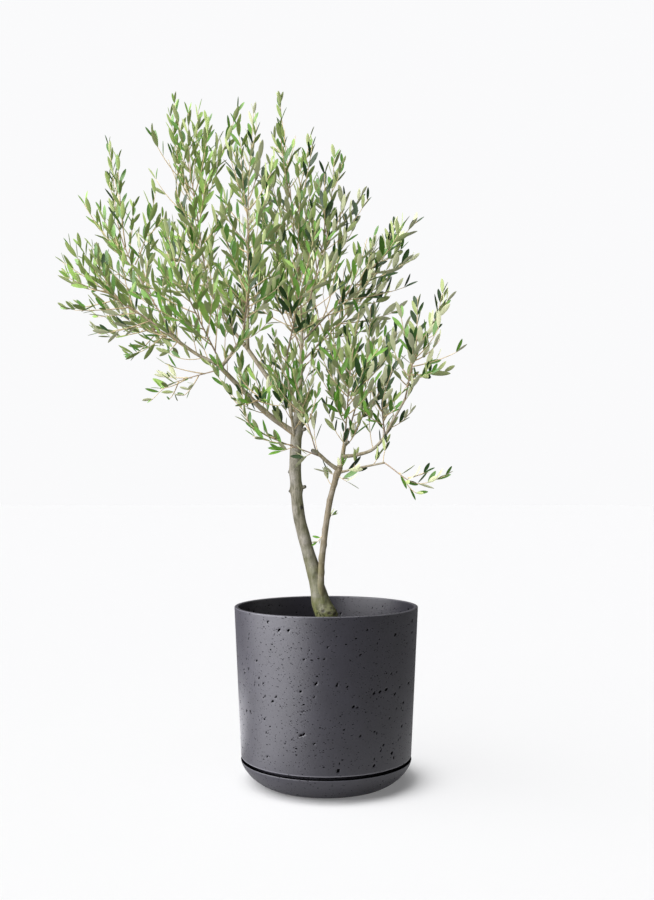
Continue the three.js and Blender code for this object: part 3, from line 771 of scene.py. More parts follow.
def make_planter():
    """The planter: a closed profile turned about Z, with pits cast into the outer wall and the
    part of the inner wall that stands over the soil. The pits push their rows of points along the
    wall, so each point's radius follows the wall's slope, and then goes in by the pit's depth."""
    lowest = SAUCER_FLOOR + GAP
    inner_floor = lowest + FLOOR_THICKNESS
    inner_foot = BODY_FOOT_RADIUS - WALL
    inner_top = RIM_RADIUS - WALL
    top = RIM_HEIGHT - LIP_ROUND
    soil_line = SOIL_LEVEL - 12
    inner_at_soil = inner_foot + WALL_SLOPE * (soil_line - SHOULDER_HEIGHT)
    neck = np.vstack([
        [(DRAIN_RADIUS, lowest)],
        arc(NECK_RADIUS - NECK_ROUND, lowest + NECK_ROUND, NECK_ROUND, -90, 0, 8),
        [(NECK_RADIUS, BODY_FOOT_HEIGHT - 0.5), (NECK_RADIUS + 1, BODY_FOOT_HEIGHT)],
        arc(BODY_FOOT_RADIUS - 1, BODY_FOOT_HEIGHT + 1, 1, -90, -20, 3),
    ])
    outer = straight((BODY_FOOT_RADIUS + 0.1, BODY_FOOT_HEIGHT + LIP_ROUND), (RIM_RADIUS, top), 128)
    lip = np.vstack([
        arc(RIM_RADIUS - LIP_ROUND, top, LIP_ROUND, 0, 90, 4),
        arc(inner_top + LIP_ROUND, top, LIP_ROUND, 90, 180, 4),
    ])
    inner = straight((inner_top - 0.1, top - 1), (inner_at_soil, soil_line), 26)
    inside = np.vstack([
        [(inner_at_soil, soil_line), (inner_foot, SHOULDER_HEIGHT)],
        arc(NECK_RADIUS - WALL - INNER_ROUND, inner_floor + INNER_ROUND, INNER_ROUND, 0, -90, 3),
        [(DRAIN_RADIUS, inner_floor)],
    ])
    sections = [neck, outer, lip, inner, inside]
    profile = np.vstack(sections)
    neck_end, outer_end, lip_end, inner_end, rings = np.cumsum([len(rows) for rows in sections])
    turn = np.tile(full_turn(LATHE_SIDES), (rings, 1))
    radius = np.tile(profile[:, :1], (1, LATHE_SIDES))
    height = np.tile(profile[:, 1:], (1, LATHE_SIDES))
    pit = np.zeros_like(turn)
    outer_pits = drawn_pits(OUTER_PITS, 3, BODY_FOOT_HEIGHT + 12, RIM_HEIGHT - 10)
    inner_pits = drawn_pits(INNER_PITS, 11, SOIL_LEVEL + 2, RIM_HEIGHT - 9)
    walls = [
        (slice(neck_end + 4, outer_end - 4), outer_pits, RIM_RADIUS, -1),
        (slice(lip_end + 1, inner_end - 1), inner_pits, inner_top, 1),
    ]
    for rows, pits, wall_radius, sign in walls:
        before = height[rows].copy()
        turn[rows], height[rows], pit[rows] = pit_field(turn[rows], height[rows], pits, wall_radius)
        slope = np.gradient(profile[rows, 0]) / np.gradient(profile[rows, 1])
        radius[rows] += slope[:, None] * (height[rows] - before) + sign * PIT_DEPTH * pit[rows]
    points = around(radius, turn, height).reshape(-1, 3)
    faces = ring_faces(rings, LATHE_SIDES, closed=True)
    add_piece(
        "planter_wall", points, [faces], [cement],
        attributes={"pit": pit}, replaces=["planter"],
    )


def make_saucer():
    """The saucer: a flat foot, a side that is a quarter of a superellipse (sines and cosines raised
    to the power of its curve), a narrow rounded lip and a shallow hollow."""
    foot = SAUCER_LIP_RADIUS - SAUCER_ROUND
    inner_round = SAUCER_TOP - SAUCER_FLOOR - 4
    inner_wall = SAUCER_LIP_RADIUS - SAUCER_WALL
    lip = SAUCER_LIP_ROUND
    turn = np.radians(np.linspace(0, 90, 29))
    side_radius = foot + SAUCER_ROUND * np.sin(turn) ** SAUCER_CURVE
    side_height = (SAUCER_TOP - lip) * (1 - np.cos(turn) ** SAUCER_CURVE)
    side = np.stack([side_radius, side_height], axis=-1)
    profile = np.vstack([
        [(0, 0), (0.6 * foot, 0)],
        side,
        arc(SAUCER_LIP_RADIUS - lip, SAUCER_TOP - lip, lip, 10, 90, 3),
        arc(inner_wall + lip, SAUCER_TOP - lip, lip, 90, 170, 3),
        arc(inner_wall - inner_round, SAUCER_FLOOR + inner_round, inner_round, 0, -90, 6),
        [(0, SAUCER_FLOOR)],
    ])
    rings = profile[1:-1]
    grid = around(rings[:, :1], full_turn(SAUCER_SIDES), rings[:, 1:]).reshape(-1, 3)
    points = np.vstack([grid, (0, 0, profile[0, 1]), (0, 0, profile[-1, 1])])
    faces = tube_template(len(rings), SAUCER_SIDES)
    add_piece("saucer_dish", points, faces, [cement], replaces=["saucer"])


def make_soil():
    """The soil: a plug that narrows into the neck, under a crumbly face, which is two sizes of noise
    over a shallow mound that rises to the stem."""
    rings, sides = 70, 160
    turn = full_turn(sides)
    edge = SOIL_RADIUS - 0.6
    reach = np.linspace(1, 0, rings, endpoint=False)[:, None]
    face = around(edge * reach, turn, 0.0)
    rough = 2.2 * noise(face, 14, 5) + 1.1 * noise(face, 5, 6)
    away = np.linalg.norm(face[..., :2] - TRUNK_STATIONS[0][1:3], axis=-1)
    mound = 3.5 * np.exp(-((away / 60) ** 2))
    face[..., 2] = SOIL_LEVEL - 5.2 + mound + rough
    foot = 30.0
    plug = np.array([
        (NECK_RADIUS - WALL - 12, foot),
        (BODY_FOOT_RADIUS - WALL - 1, SHOULDER_HEIGHT),
        (edge - 1, SOIL_LEVEL - 14),
    ])
    grid = np.concatenate([around(plug[:, :1], turn, plug[:, 1:]), face]).reshape(-1, 3)
    points = np.vstack([grid, (0, 0, foot), (0, 0, SOIL_LEVEL - 4)])
    faces = tube_template(rings + len(plug), sides)
    add_piece("soil_bed", points, faces, [soil_mix], replaces=["soil"])


def make_crumbs():
    """Crumbs and chips of bark on the soil: small six-cornered lumps, spread evenly by the golden
    step, each stretched and turned by its own draws, and set down a little sunk."""
    n = np.arange(CRUMBS)
    reach = (SOIL_RADIUS - 6) * np.sqrt((n + 0.5) / CRUMBS)
    place = around(reach, 2 * math.pi * n * GOLDEN_STEP, CRUMB_LEVEL)
    size = 1.6 + 3.4 * draw(21, n) ** 3
    lump = np.array([(1, 0, 0), (0, 1, 0), (-1, 0, 0), (0, -1, 0), (0, 0, -1), (0, 0, 1)])
    stretch = 0.6 + 0.8 * draw(np.array([31, 32, 33])[:, None], n).T
    stretch[:, 2] *= 0.6
    lumps = lump * (size[:, None] * stretch)[:, None, :]
    spin = 2 * math.pi * draw(41, n)
    cosine, sine = np.cos(spin)[:, None], np.sin(spin)[:, None]
    x = lumps[..., 0] * cosine - lumps[..., 1] * sine
    y = lumps[..., 0] * sine + lumps[..., 1] * cosine
    z = lumps[..., 2] + 0.25 * x * (draw(42, n)[:, None] - 0.5)
    points = (np.stack([x, y, z], axis=-1) + place[:, None]).reshape(-1, 3)
    octahedron = np.vstack([cap_faces(0, 4, 4, False), cap_faces(0, 5, 4, True)])
    faces = repeated(octahedron, CRUMBS, len(lump))
    add_piece("soil_crumbs", points, [faces], [soil_mix])


# ---------- bark ----------

lines = {}  # each limb's line, in the same steps as the part's source, and each mass's stem


def stem_line(stations, steps):
    """A stem's line and its radii, from its stations."""
    rows = smooth_line([(x, y, z, radius) for z, x, y, radius in stations], steps)
    return rows[:, :3], rows[:, 3]


def bough_radii(shares, length, base, tip):
    """A bough's radius: an even taper, and a collar that dies away from its foot."""
    return base + (tip - base) * shares + 0.45 * base * np.exp(-shares * length / (1.6 * base))


def trace_limbs():
    """Works out the line of every limb, each from its place on the one that bears it."""
    lines["trunk"] = stem_line(TRUNK_STATIONS, TRUNK_STEPS)[0]
    lines["second_stem"] = stem_line(SECOND_STEM_STATIONS, SECOND_STEM_STEPS)[0]
    for name, parent, at, heading, rise, curl, length, *_ in BOUGHS:
        lines[name] = grown(along(lines[parent], at), heading, rise, curl, length)


def bark_relief(line, radii, sides, seed):
    """Radii for each ring and side: long shallow ridges and lesser lumps, as noise drawn out along
    the stem, each a share of the radius."""
    points = tube_points(line[None], radii[None, :, None], sides)[0, :-2].reshape(len(line), sides, 3)
    ridges = noise(points * (1, 1, 0.25), 7, seed)
    lumps = noise(points * (1, 1, 0.6), 16, seed + 1)
    return points, radii[:, None] * (1 + 0.035 * ridges + 0.05 * lumps)


def stem_tube(line, radii, sides, seed, knots=()):
    """One stem's points, faces and knot marks. A knot swells the bark by a bell curve of the
    distance from its middle, and its own middle is sunk again where it is dark."""
    points, relief = bark_relief(line, radii, sides, seed)
    mark = np.zeros(relief.shape)
    for height, heading, swelling, size, dark in knots:
        ring = int(np.argmin(np.abs(line[:, 2] - height)))
        middle = line[ring] + pointing(heading, 0) * radii[ring]
        away = np.linalg.norm(points - middle, axis=-1)
        relief = relief + swelling * np.exp(-((away / size) ** 2))
        relief = relief - 0.5 * dark * swelling * np.exp(-((away / (0.35 * size)) ** 2))
        mark = np.maximum(mark, dark * np.exp(-((away / (0.38 * size)) ** 2)))
    shape = tube_points(line[None], relief[None], sides)[0]
    marks = np.concatenate([mark.ravel(), [0, 0]])
    return shape, tube_template(len(line), sides), marks


def sawn(line, radii, bevel):
    """A line and its radii with a narrow bevel and a flat face added at the far end."""
    ahead = unit(line[-1] - line[-2])
    far = [line[-1] + ahead * bevel * 0.5, line[-1] + ahead * bevel * 0.6]
    return np.vstack([line, far]), np.concatenate([radii, [radii[-1] - 0.3 * bevel, radii[-1] - bevel]])


def joined(parts):
    """Points, quads and triangles, and marks of several closed shapes as one."""
    points, faces, marks = zip(*parts)
    starts = np.cumsum([0, *(len(p) for p in points[:-1])])
    kinds = [np.vstack([f[kind] + start for f, start in zip(faces, starts)]) for kind in (0, 1)]
    return np.vstack(points), kinds, np.concatenate(marks)


def stub_parts():
    """The pruned stubs: short pegs from the trunk's middle, each with a dark weathered end."""
    parts = []
    for i, (limb, at, heading, length, radius) in enumerate(STUBS):
        inside = along(lines[limb], at)
        shares = np.linspace(0, 1, 12)
        line = inside + shares[:, None] * pointing(heading, STUB_RISE) * length
        radii = radius * (1.45 - 0.45 * shares ** 0.5)
        radii[-3:] *= (1.06, 1.0, 0.72)
        points, faces, marks = stem_tube(line, radii, STUB_SIDES, seed=50 + i)
        marks[:-2] = np.repeat(smoothstep(shares, 0.86, 0.97), STUB_SIDES)
        marks[-1] = 1
        parts.append((points, faces, marks))
    return parts


def make_bark():
    """The trunk with its stubs, the second stem and the boughs, each kind one mesh."""
    line, radii = stem_line(TRUNK_STATIONS, 300)
    line[0, 2] = SOIL_LEVEL - 6  # its foot stands in the soil
    line, radii = sawn(line, radii, 2.0)
    trunk_parts = [stem_tube(line, radii, sides=72, seed=1, knots=KNOTS), *stub_parts()]
    line, radii = stem_line(SECOND_STEM_STATIONS, 180)
    stem_parts = [stem_tube(line, radii, sides=40, seed=2, knots=NODES)]
    bough_parts = []
    for i, (name, *_, length, base, tip) in enumerate(BOUGHS):
        line = smooth_line(lines[name], 60)
        radii = bough_radii(np.linspace(0, 1, len(line)), length, base, tip)
        bough_parts.append(stem_tube(line, radii, sides=20, seed=10 + i))
    kinds = [
        ("trunk_bark", trunk_parts, bark, ["trunk"]),
        ("second_stem_bark", stem_parts, stem_bark, ["second_stem"]),
        ("bough_bark", bough_parts, young_bark, [row[0] for row in BOUGHS]),
    ]
    for title, parts, material, nodes in kinds:
        points, faces, marks = joined(parts)
        add_piece(title, points, faces, [material], attributes={"knot": marks}, replaces=nodes)


# ---------- foliage ----------

trace_limbs()

# For each mass: where its stem leaves the bough, and its space's heart, lean, half length and width.
MASS_STARTS = np.array([along(lines[row[1]], row[2]) for row in MASSES])
HEARTS = MASS_STARTS + np.array([pointing(row[3], row[4]) * row[5] for row in MASSES])
LEANS = np.array([pointing(row[6], row[7]) for row in MASSES])
HALVES = np.array([row[8] for row in MASSES])
WIDTHS = np.array([row[9] for row in MASSES])

OLD, LAST_YEARS, NEW = 0, 1, 2  # a twig's age, and its place among the twig barks
NO_MASS = -1  # for the twigs and sprays of boughs and bare wood
twigs = []  # line, first and last radius, age
sprays = []  # line, leafy share from its tip, leaf length, seed, mass


def depths(points):
    """How far points lie from each space's heart: 1 on the space's egg-shaped surface."""
    away = points[:, None] - HEARTS
    up = np.einsum("nmk,mk->nm", away, LEANS)
    out = np.sqrt(np.maximum(0, (away ** 2).sum(axis=-1) - up ** 2))
    return np.hypot(up / HALVES, out / WIDTHS)


def owned(mass, points, slack=0.0):
    """True for points in a mass's own space or just outside it, where its heart is the nearest, no
    further out than the frame's own reach, and in no opening."""
    points = np.atleast_2d(points)
    deep = depths(points)
    own = deep[:, mass]
    within = ((points > REACH_LOW) & (points < REACH_HIGH)).all(axis=1)
    closed = ~in_opening(points)
    return (own < FRINGE + slack) & (own <= deep.min(axis=1) + slack) & within & closed


def in_opening(points):
    """True for points inside the ellipse of an opening, once moved to the trunk's own distance
    along the line of sight."""
    points = np.atleast_2d(points)
    shrink = VIEW_DISTANCE / (VIEW_DISTANCE + points[:, 1])
    x, z, wide, high = np.array(OPENINGS).T
    across = (points[:, 0] * shrink)[:, None] - x
    up = ((points[:, 2] - EYE_LEVEL) * shrink)[:, None] - (z - EYE_LEVEL)
    return (np.hypot(across / wide, up / high) < 1).any(axis=1)


def bent_line(start, tip, bend):
    """A quadratic Bezier curve from start to tip by way of a bend."""
    t = np.linspace(0, 1, TWIG_RINGS)[:, None]
    return (1 - t) ** 2 * start + 2 * t * (1 - t) * bend + t ** 2 * tip


def shoot_line(start, tip):
    """The line of a shoot: it leaves its stem at a slant and turns up towards its tip."""
    away = tip - start
    early = 0.3 if away[2] > 0 else 0.9
    return bent_line(start, tip, start + away * (0.6, 0.6, early))


def add_twig(line, first_radius, last_radius, age):
    """Keeps one twig, its line resampled to the common number of rings."""
    twigs.append((along(line, np.linspace(0, 1, TWIG_RINGS)), first_radius, last_radius, age))


def line_length(line):
    """The sum of the lengths of a line's steps."""
    return np.linalg.norm(np.diff(line, axis=0), axis=1).sum()


def grow_side_twigs(line, mass, seed, first_share, spacing, longest):
    """Side twigs of a shoot or a bough, by the shoots' own rule again at a smaller size: they stand
    round it by the golden angle, shorter towards its tip, and turn up. A bough's side twigs belong
    to no mass, and stay near some mass's space."""
    length = line_length(line)
    last_share = 0.95 if mass == NO_MASS else 1 - FREE_TIP / length
    count = int(length * (last_share - first_share) / spacing)
    for j in range(count):
        share = first_share + (last_share - first_share) * (j + 0.3 + 0.5 * draw(seed, j + 70)) / count
        start = along(line, share)
        ahead = unit(along(line, min(1, share + 0.05)) - along(line, share - 0.05))
        side = side_of(ahead)
        turn = math.radians(j * GOLDEN_TURN + 360 * draw(seed, 60))
        out = math.cos(turn) * side + math.sin(turn) * np.cross(ahead, side)
        direction = unit(0.75 * ahead + 0.7 * out + 0.4 * UP)
        reach = longest * (0.55 + 0.6 * draw(seed, j + 80)) * (1.25 - 0.6 * share)
        for tried in (1.0, 0.8, 0.6, 0.45):
            tip = start + direction * reach * tried
            if mass == NO_MASS:
                fits = depths(tip[None]).min() < LOOSE_FRINGE
            else:
                fits = owned(mass, tip, 0.02)[0]
            if fits:
                bend = start + 0.5 * (tip - start) + 0.1 * reach * (out - UP)
                twig = bent_line(start, tip, bend)
                add_twig(twig, SIDE_TWIG_RADIUS, TWIG_TIP_RADIUS, LAST_YEARS if mass == NO_MASS else NEW)
                leafy = min(0.85, LEAFY_TWIG / (reach * tried))
                leaf_length = LEAF_LENGTH * (0.75 + 0.3 * draw(seed, j + 90))
                sprays.append((twig, leafy, leaf_length, seed + 7 * j, mass))
                break


def grow_mass(mass):
    """A mass's stem and leader, its side shoots, and their side twigs. The shoots' tips stand round
    the lean by the golden angle and evenly along it, as far out as a superellipse of power 3 lets
    them, and each is drawn in by steps until it is in its mass's own space."""
    start, heart, lean = MASS_STARTS[mass], HEARTS[mass], LEANS[mass]
    half, wide = HALVES[mass], WIDTHS[mass]
    narrow = wide < NARROW
    slim = wide < SLIM
    seed = (mass + 1) * 31
    leaf_length = LEAF_LENGTH * (0.85 if narrow else 1)
    for reach in np.arange(1, 0, -SHORTER_REACH):
        tip = heart + lean * reach * (half - 0.6 * leaf_length)
        if owned(mass, tip)[0]:
            break
    stem = smooth_line([start, heart, tip], 2 * TWIG_RINGS)
    lines[MASSES[mass][0]] = stem
    middle = TWIG_RINGS
    stem_radius = STEM_RADIUS * (0.75 if narrow else 1)
    add_twig(stem[: middle + 1], stem_radius, stem_radius * 0.62, OLD)
    add_twig(stem[middle:], stem_radius * 0.62, TWIG_TIP_RADIUS, LAST_YEARS)
    sprays.append((stem, min(0.8, LEAFY_LENGTH / line_length(stem)), leaf_length, seed, mass))
    if not slim:
        grow_side_twigs(stem, mass, seed + 0.5, 0.5, SIDE_TWIG_EVERY, SIDE_TWIG_LENGTH)

    side = unit(np.cross(SIDEWAYS, lean))
    other = np.cross(lean, side)
    shoots = SHOOTS_IF_SLIM if slim else SHOOTS_IF_NARROW if narrow else SHOOTS
    for k in range(1, shoots):
        share = k / shoots
        slope = 0.93 - 1.5 * share
        turn = math.radians(k * GOLDEN_TURN + 360 * draw(mass + 1, 0))
        spread_out = (1 - abs(slope) ** 3) ** (1 / 3) * wide * FRINGE
        away = lean * slope * half + (side * math.cos(turn) + other * math.sin(turn)) * spread_out
        from_point = start + (heart - start) * (1 - 0.8 * share)
        longest = 1 - 0.5 * leaf_length / np.linalg.norm(away)
        longest *= 1 - 0.35 * draw(seed + k, 6) ** 2
        for reach in np.arange(longest, 0.3 * longest, -SHORTER_REACH):
            tip = heart + away * reach
            if owned(mass, tip)[0]:
                line = shoot_line(from_point, tip)
                add_twig(line, SHOOT_RADIUS, TWIG_TIP_RADIUS, LAST_YEARS)
                leafy = min(0.9, LEAFY_LENGTH / line_length(line))
                vigour = 0.85 + 0.3 * draw(seed + k, 5)
                sprays.append((line, leafy, leaf_length * vigour, seed + k, mass))
                if not slim:
                    grow_side_twigs(line, mass, seed + k + 0.25, 0.3, SIDE_TWIG_EVERY, SIDE_TWIG_LENGTH)
                break


def grow_on_boughs():
    """The thin leafy twigs that the boughs bear between the masses."""
    for i, (name, first_share, spacing, longest) in enumerate(TWIGGY_BOUGHS):
        grow_side_twigs(lines[name], NO_MASS, 700 + i * 13, first_share, spacing, longest)


def grow_sprigs():
    """The sprigs, each a line by the same rule as a bough's."""
    for i, (limb, at, heading, rise, curl, length, leaf_length) in enumerate(SPRIGS):
        line = grown(along(lines[limb], at), heading, rise, curl, length)
        add_twig(line, SIDE_TWIG_RADIUS, TWIG_TIP_RADIUS, LAST_YEARS)
        sprays.append((line, min(0.8, LEAFY_LENGTH / length), leaf_length, 900 + i, NO_MASS))


def leaves_of(line, leafy, leaf_length, seed):
    """Roots, directions, faces, lengths and draws of the leaves of one spray. Pairs stand across
    each other along it, open more towards its foot, and lean up to the light."""
    length = line_length(line)
    pairs = max(2, int(length * leafy / INTERNODE) + 1)
    j = np.arange(pairs)
    step = leafy * (j + 0.25 * draw(seed, j + 20)) / pairs
    share = np.repeat(0.985 - step, 2)
    pair = np.repeat(j, 2)
    hand = np.tile([0, 1], pairs)
    root = along(line, share)
    ahead = unit(along(line, np.minimum(1, share + 0.04)) - along(line, np.maximum(0, share - 0.06)))
    side = side_of(ahead)
    lot = pair * 3 + hand
    turn = np.radians(90 * pair + 180 * hand + 90 * draw(seed, 1) + 30 * (draw(seed, lot + 100) - 0.5))
    out = side * np.cos(turn)[:, None] + np.cross(ahead, side) * np.sin(turn)[:, None]
    opening = LEAF_OPENING + WIDER_OPENING * np.minimum(1, pair / 2)
    opening = np.radians(opening + 2 * OPENING_VARIES * (draw(seed, lot + 200) - 0.5))[:, None]
    direction = unit(ahead * np.cos(opening) + out * np.sin(opening) + 0.5 * UP)
    face = 0.5 * ahead - 0.8 * out + 0.35 * UP
    face = unit(face - (face * direction).sum(axis=-1, keepdims=True) * direction)
    twist = np.radians(2 * LEAF_TWIST * (draw(seed, lot + 300) - 0.5))[:, None]
    face = face * np.cos(twist) + np.cross(direction, face) * np.sin(twist)
    taper = 1 - 0.22 * np.exp(-pair / 0.8)
    size = leaf_length * taper * (0.8 + 0.35 * draw(seed, lot + 400))
    return root, direction, face, size, lot


def blades(root, direction, face, size, width, curl):
    """Points of leaf blades (n, 26, 3). A blade is a flat lens along its midrib: at each ring the two
    margins stand over the midrib by the fold, and the underside lies a thickness below it. The whole
    bends by a parabola of the curl."""
    across = np.cross(direction, face)
    place, outline = LEAF_OUTLINE.T
    half = (size * width)[:, None] / 2 * outline
    spine = root[:, None] + direction[:, None] * (size[:, None] * place)[..., None]
    spine = spine + face[:, None] * (size[:, None] * curl[:, None] * place ** 2)[..., None]
    lift = face[:, None] * (LEAF_FOLD * half)[..., None]
    reach = across[:, None] * half[..., None]
    under = -face[:, None] * (LEAF_THICKNESS * (0.4 + 0.6 * outline))[..., None]
    rings = np.stack([spine + lift + reach, spine, spine + lift - reach, spine + under], axis=2)
    tip = root + direction * size[:, None] + face * (size * curl)[:, None]
    flat = rings.reshape(len(root), -1, 3)
    return np.concatenate([flat, root[:, None], tip[:, None]], axis=1)


def blade_faces():
    """Faces of one blade, and for each whether it is on the underside. Corners 0 to 2 of a ring are
    the margins with the midrib between them, and corner 3 is underneath."""
    rings = len(LEAF_OUTLINE)
    quads, triangles = tube_template(rings, 4)
    return quads, triangles, np.tile([0, 0, 1, 1], rings - 1), np.tile([0, 0, 1, 1], 2)


def mark_margins(mesh, corners_each):
    """Keeps the leaves' margins crisp, where the upper side meets the underside: the edges whose
    ends are both margin corners or points of a blade."""
    ends = np.zeros(len(mesh.edges) * 2, np.int32)
    mesh.edges.foreach_get("vertices", ends)
    corner = ends.reshape(-1, 2) % corners_each
    on_ring = corner < corners_each - 2
    margin = ~on_ring | (corner % 4 == 0) | (corner % 4 == 2)
    sharp = mesh.attributes.new("sharp_edge", "BOOLEAN", "EDGE")
    sharp.data.foreach_set("value", margin.all(axis=1) & on_ring.any(axis=1))


def spray_tints(seed, rightness):
    """One tint of upper side and one of underside for a spray: to the right of the crown they are
    more often deep above and pale below."""
    top = len(leaf_tops) * (0.88 * draw(seed, 601) + 0.12) - 1.3 * rightness
    under = len(leaf_undersides) * (0.7 * draw(seed, 602) + 0.3 * rightness)
    return int(np.clip(top, 0, len(leaf_tops) - 1)), int(np.clip(under, 0, len(leaf_undersides) - 1))


def drawn_leaves():
    """Roots, directions, faces, lengths, widths, curls and tints of all leaves. A leaf that has
    dropped, stands in an opening or would leave its mass's space is left out. Leaves are a little
    broader to the right."""
    drawn = []
    for line, leafy, leaf_length, seed, mass in sprays:
        root, direction, face, size, lot = leaves_of(line, leafy, leaf_length, seed)
        blade = direction * size[:, None]
        keep = (draw(seed, lot + 500) < LEAVES_KEPT) & ~in_opening(root + blade * 0.6)
        if mass != NO_MASS:
            slack = 12 / WIDTHS[mass]
            keep &= owned(mass, root + blade * 0.5, slack / 2)
            keep &= owned(mass, root + blade, slack)
        rightness = smoothstep(line[-1, 0], -250, 150)
        curl = 0.16 * (draw(seed, lot + 700) - 0.62)
        width = LEAF_WIDTH * (0.9 + 0.2 * draw(seed, lot + 800) + 0.12 * rightness)
        tints = np.tile(spray_tints(seed, rightness), (len(size), 1))
        drawn.append([a[keep] for a in (root, direction, face, size, width, curl, tints)])
    return [np.concatenate(a) for a in zip(*drawn)]


def make_leaves():
    """All leaves, in two joined pieces: the left half of the leaves, which replaces the left half of
    the masses, and the right half."""
    *shapes, tints = drawn_leaves()
    points = blades(*shapes)
    quads, triangles, *undersides = blade_faces()
    stride = points.shape[1]
    left_leaves = points[:, -2, 0] < np.median(points[:, -2, 0])
    left_nodes = HEARTS[:, 0] < np.median(HEARTS[:, 0])
    names = np.array([row[0] for row in MASSES])
    for title, chosen, nodes in (("left", left_leaves, left_nodes), ("right", ~left_leaves, ~left_nodes)):
        count = int(chosen.sum())
        faces = [repeated(quads, count, stride), repeated(triangles, count, stride)]
        top, under = tints[chosen].T[..., None]
        slots = [np.where(below, len(leaf_tops) + under, top).ravel() for below in undersides]
        piece = add_piece(
            f"leaves_{title}", points[chosen].reshape(-1, 3), faces, leaf_tops + leaf_undersides, slots,
            replaces=names[nodes].tolist(),
        )
        mark_margins(piece.data, stride)


def make_twigs():
    """All twigs as one joined mesh of tapering tubes, in three plain barks by age."""
    routes, first, last, ages = (np.array(column) for column in zip(*twigs))
    radii = first[:, None] + (last - first)[:, None] * np.linspace(0, 1, TWIG_RINGS)
    points = tube_points(routes, radii[..., None], TWIG_SIDES)
    quads, triangles = tube_template(TWIG_RINGS, TWIG_SIDES)
    stride = points.shape[1]
    faces = [repeated(quads, len(twigs), stride), repeated(triangles, len(twigs), stride)]
    slots = [np.repeat(ages, len(quads)), np.repeat(ages, len(triangles))]
    add_piece("twigs", points.reshape(-1, 3), faces, twig_barks, slots)


# ---------- stage ----------

BOX_TINT = (0.965, 0.96, 1.0)

# Soft overhead and side lights: strength, width in degrees, turn, what it lights and, where that is
# given, the only thing that shades it. Planter, crown, wood and floor each have their own.
SUNS = [
    ("roof", 1.2, 60, (12, -10, 0), "vessel", None),
    ("right_fill", 0.5, 60, (0, 60, 0), "vessel", None),
    ("ground_light", 2.75, 62, (14, -36, 0), "ground", "saucer"),
    ("ground_fill", 0.6, 20, (0, 0, 0), "ground", "ground"),
    ("ground_contact", 0.55, 40, (0, 0, 0), "ground", "saucer"),
    ("crown_key", 6.6, 70, (62, 0, -62), "crown", None),
    ("crown_roof", 2.5, 100, (8, -8, 0), "crown", None),
    ("crown_front", 1.2, 120, (70, 0, 20), "crown", None),
    ("crown_bounce", 0.65, 140, (170, 0, 0), "crown", None),
    ("wood_key", 4.9, 70, (62, 0, -62), "wood", "wood"),
    ("wood_front", 1.1, 120, (70, 0, 0), "wood", "wood"),
    ("wood_bounce", 0.5, 140, (170, 0, 0), "wood", "wood"),
]

# Panels that light the planter: width, height, power, place and turn. The papers are bright patches
# of the floor at its left, as the planter sees them: the rear one gives its left edge a pale rim.
PANELS = [
    ("left_box", 3.2, 1.6, 113, (-1.9, -0.9, 0.82), (90, 0, -65)),
    ("left_paper", 0.9, 0.9, 4.9, (-0.72, -0.5, 0.004), (180, 0, 0)),
    ("rear_paper", 0.5, 0.5, 2.0, (-0.5, 0.42, 0.004), (180, 0, 0)),
]

LIT_TOGETHER = {
    "crown": ("twigs", "leaves_left", "leaves_right"),
    "wood": ("trunk_bark", "second_stem_bark", "bough_bark"),
    "vessel": ("planter_wall", "saucer_dish", "soil_bed", "soil_crumbs"),
    "saucer": ("saucer_dish",),
    "ground": ("floor",),
}


def hang_light(lamp, place, turn, lit, shading=None):
    """Puts up a lamp that lights only one collection and, where shading is given, is shaded only by
    that one."""
    light = bpy.data.objects.new(lamp.name, lamp)
    light.visible_camera = False
    light.location = place
    light.rotation_euler = [math.radians(angle) for angle in turn]
    light.light_linking.receiver_collection = lit
    if shading is not None:
        light.light_linking.blocker_collection = shading
    bpy.context.scene.collection.objects.link(light)


def hang_lights():
    """The studio's lamps: three panels, then the wide soft lights."""
    groups = {}
    for title, names in LIT_TOGETHER.items():
        groups[title] = bpy.data.collections.new(title)
        for name in names:
            groups[title].objects.link(bpy.data.objects[name])
    for title, width, height, power, place, turn in PANELS:
        panel = bpy.data.lights.new(title, "AREA")
        panel.shape = "RECTANGLE"
        panel.size = width
        panel.size_y = height
        panel.energy = power
        panel.color = BOX_TINT
        hang_light(panel, place, turn, groups["vessel"])
    for title, strength, softness, turn, lit, shading in SUNS:
        sun = bpy.data.lights.new(title, "SUN")
        sun.energy = strength
        sun.angle = math.radians(softness)
        hang_light(sun, (0, 0, 3), turn, groups[lit], groups.get(shading))


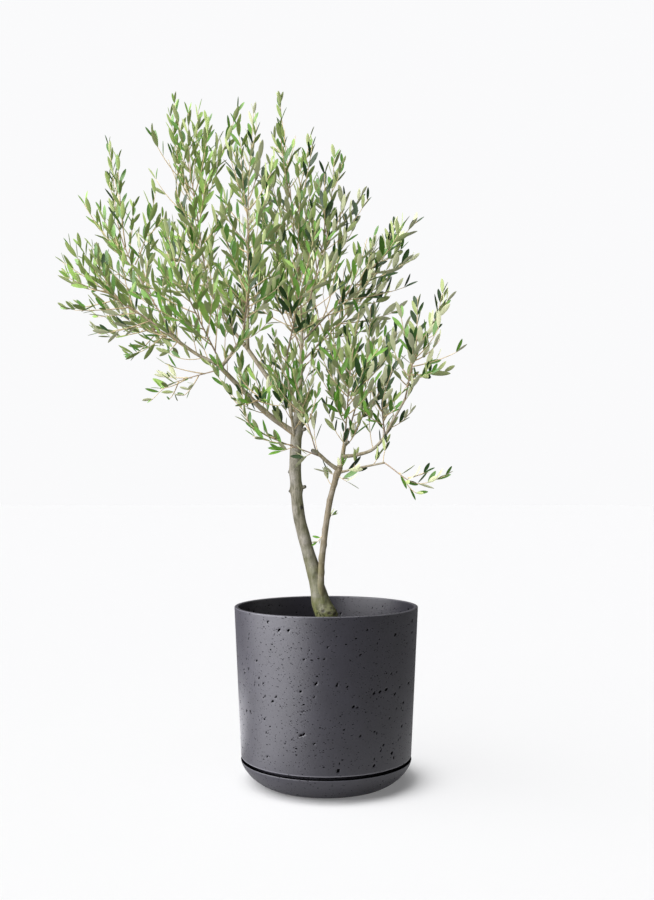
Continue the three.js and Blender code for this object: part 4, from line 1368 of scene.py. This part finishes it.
def seen_directly(tree):
    """1 for what the eye sees and 0 for the light that a surface throws on others."""
    return add_node(tree, "ShaderNodeLightPath").outputs["Is Camera Ray"]


def lay_floor():
    """A pale round floor of matt paper. It looks nearly white, but throws only part of that light
    back on the planter, and less of it from further off."""
    floor_paper, tree, shader = new_material("floor_paper", "#f2f2f3", Roughness=1, Specular_IOR_Level=0)
    feeds = {0: own_place(tree)}
    away = add_node(tree, "ShaderNodeVectorMath", feeds, operation="LENGTH").outputs["Value"]
    thrown = mixed(tree, spread(tree, away, 0.3, 1.0), "#cfcfd0", "#828284")
    connect(tree, shader, {"Base Color": mixed(tree, seen_directly(tree), thrown, "#f2f2f3")})
    mesh = bpy.data.meshes.new("floor")
    mesh.from_pydata(around(40, full_turn(64), 0).tolist(), [], [list(range(64))])
    mesh.materials.append(floor_paper)
    floor = bpy.data.objects.new("floor", mesh)
    bpy.context.scene.collection.objects.link(floor)


def make_surround():
    """An even surround that looks nearly white, but gives only a little of that as light."""
    world = bpy.data.worlds.new("studio")
    world.use_nodes = True
    tree = world.node_tree
    tree.nodes.clear()
    strength = spread(tree, seen_directly(tree), 0, 1, 0.035, 0.967)
    feeds = {"Color": (0.99, 0.99, 1.0, 1.0), "Strength": strength}
    background = add_node(tree, "ShaderNodeBackground", feeds)
    add_node(tree, "ShaderNodeOutputWorld", {"Surface": background.outputs[0]})
    bpy.context.scene.world = world


def make_camera():
    """A level camera in front of the planter, at the height of the bare stems."""
    lens = bpy.data.cameras.new("camera")
    lens.lens = 39.44
    lens.shift_y = 0.045
    camera = bpy.data.objects.new("camera", lens)
    camera.location = (1.6 * MM, -VIEW_DISTANCE * MM, EYE_LEVEL * MM)
    camera.rotation_euler = (math.radians(90), 0, 0)
    bpy.context.scene.collection.objects.link(camera)
    bpy.context.scene.camera = camera
    bpy.context.scene.view_settings.view_transform = "Standard"


make_planter()
make_saucer()
make_soil()
make_crumbs()
make_bark()
for mass in range(len(MASSES)):
    grow_mass(mass)
grow_on_boughs()
grow_sprigs()
make_twigs()
make_leaves()
lay_floor()
make_surround()
hang_lights()
make_camera()
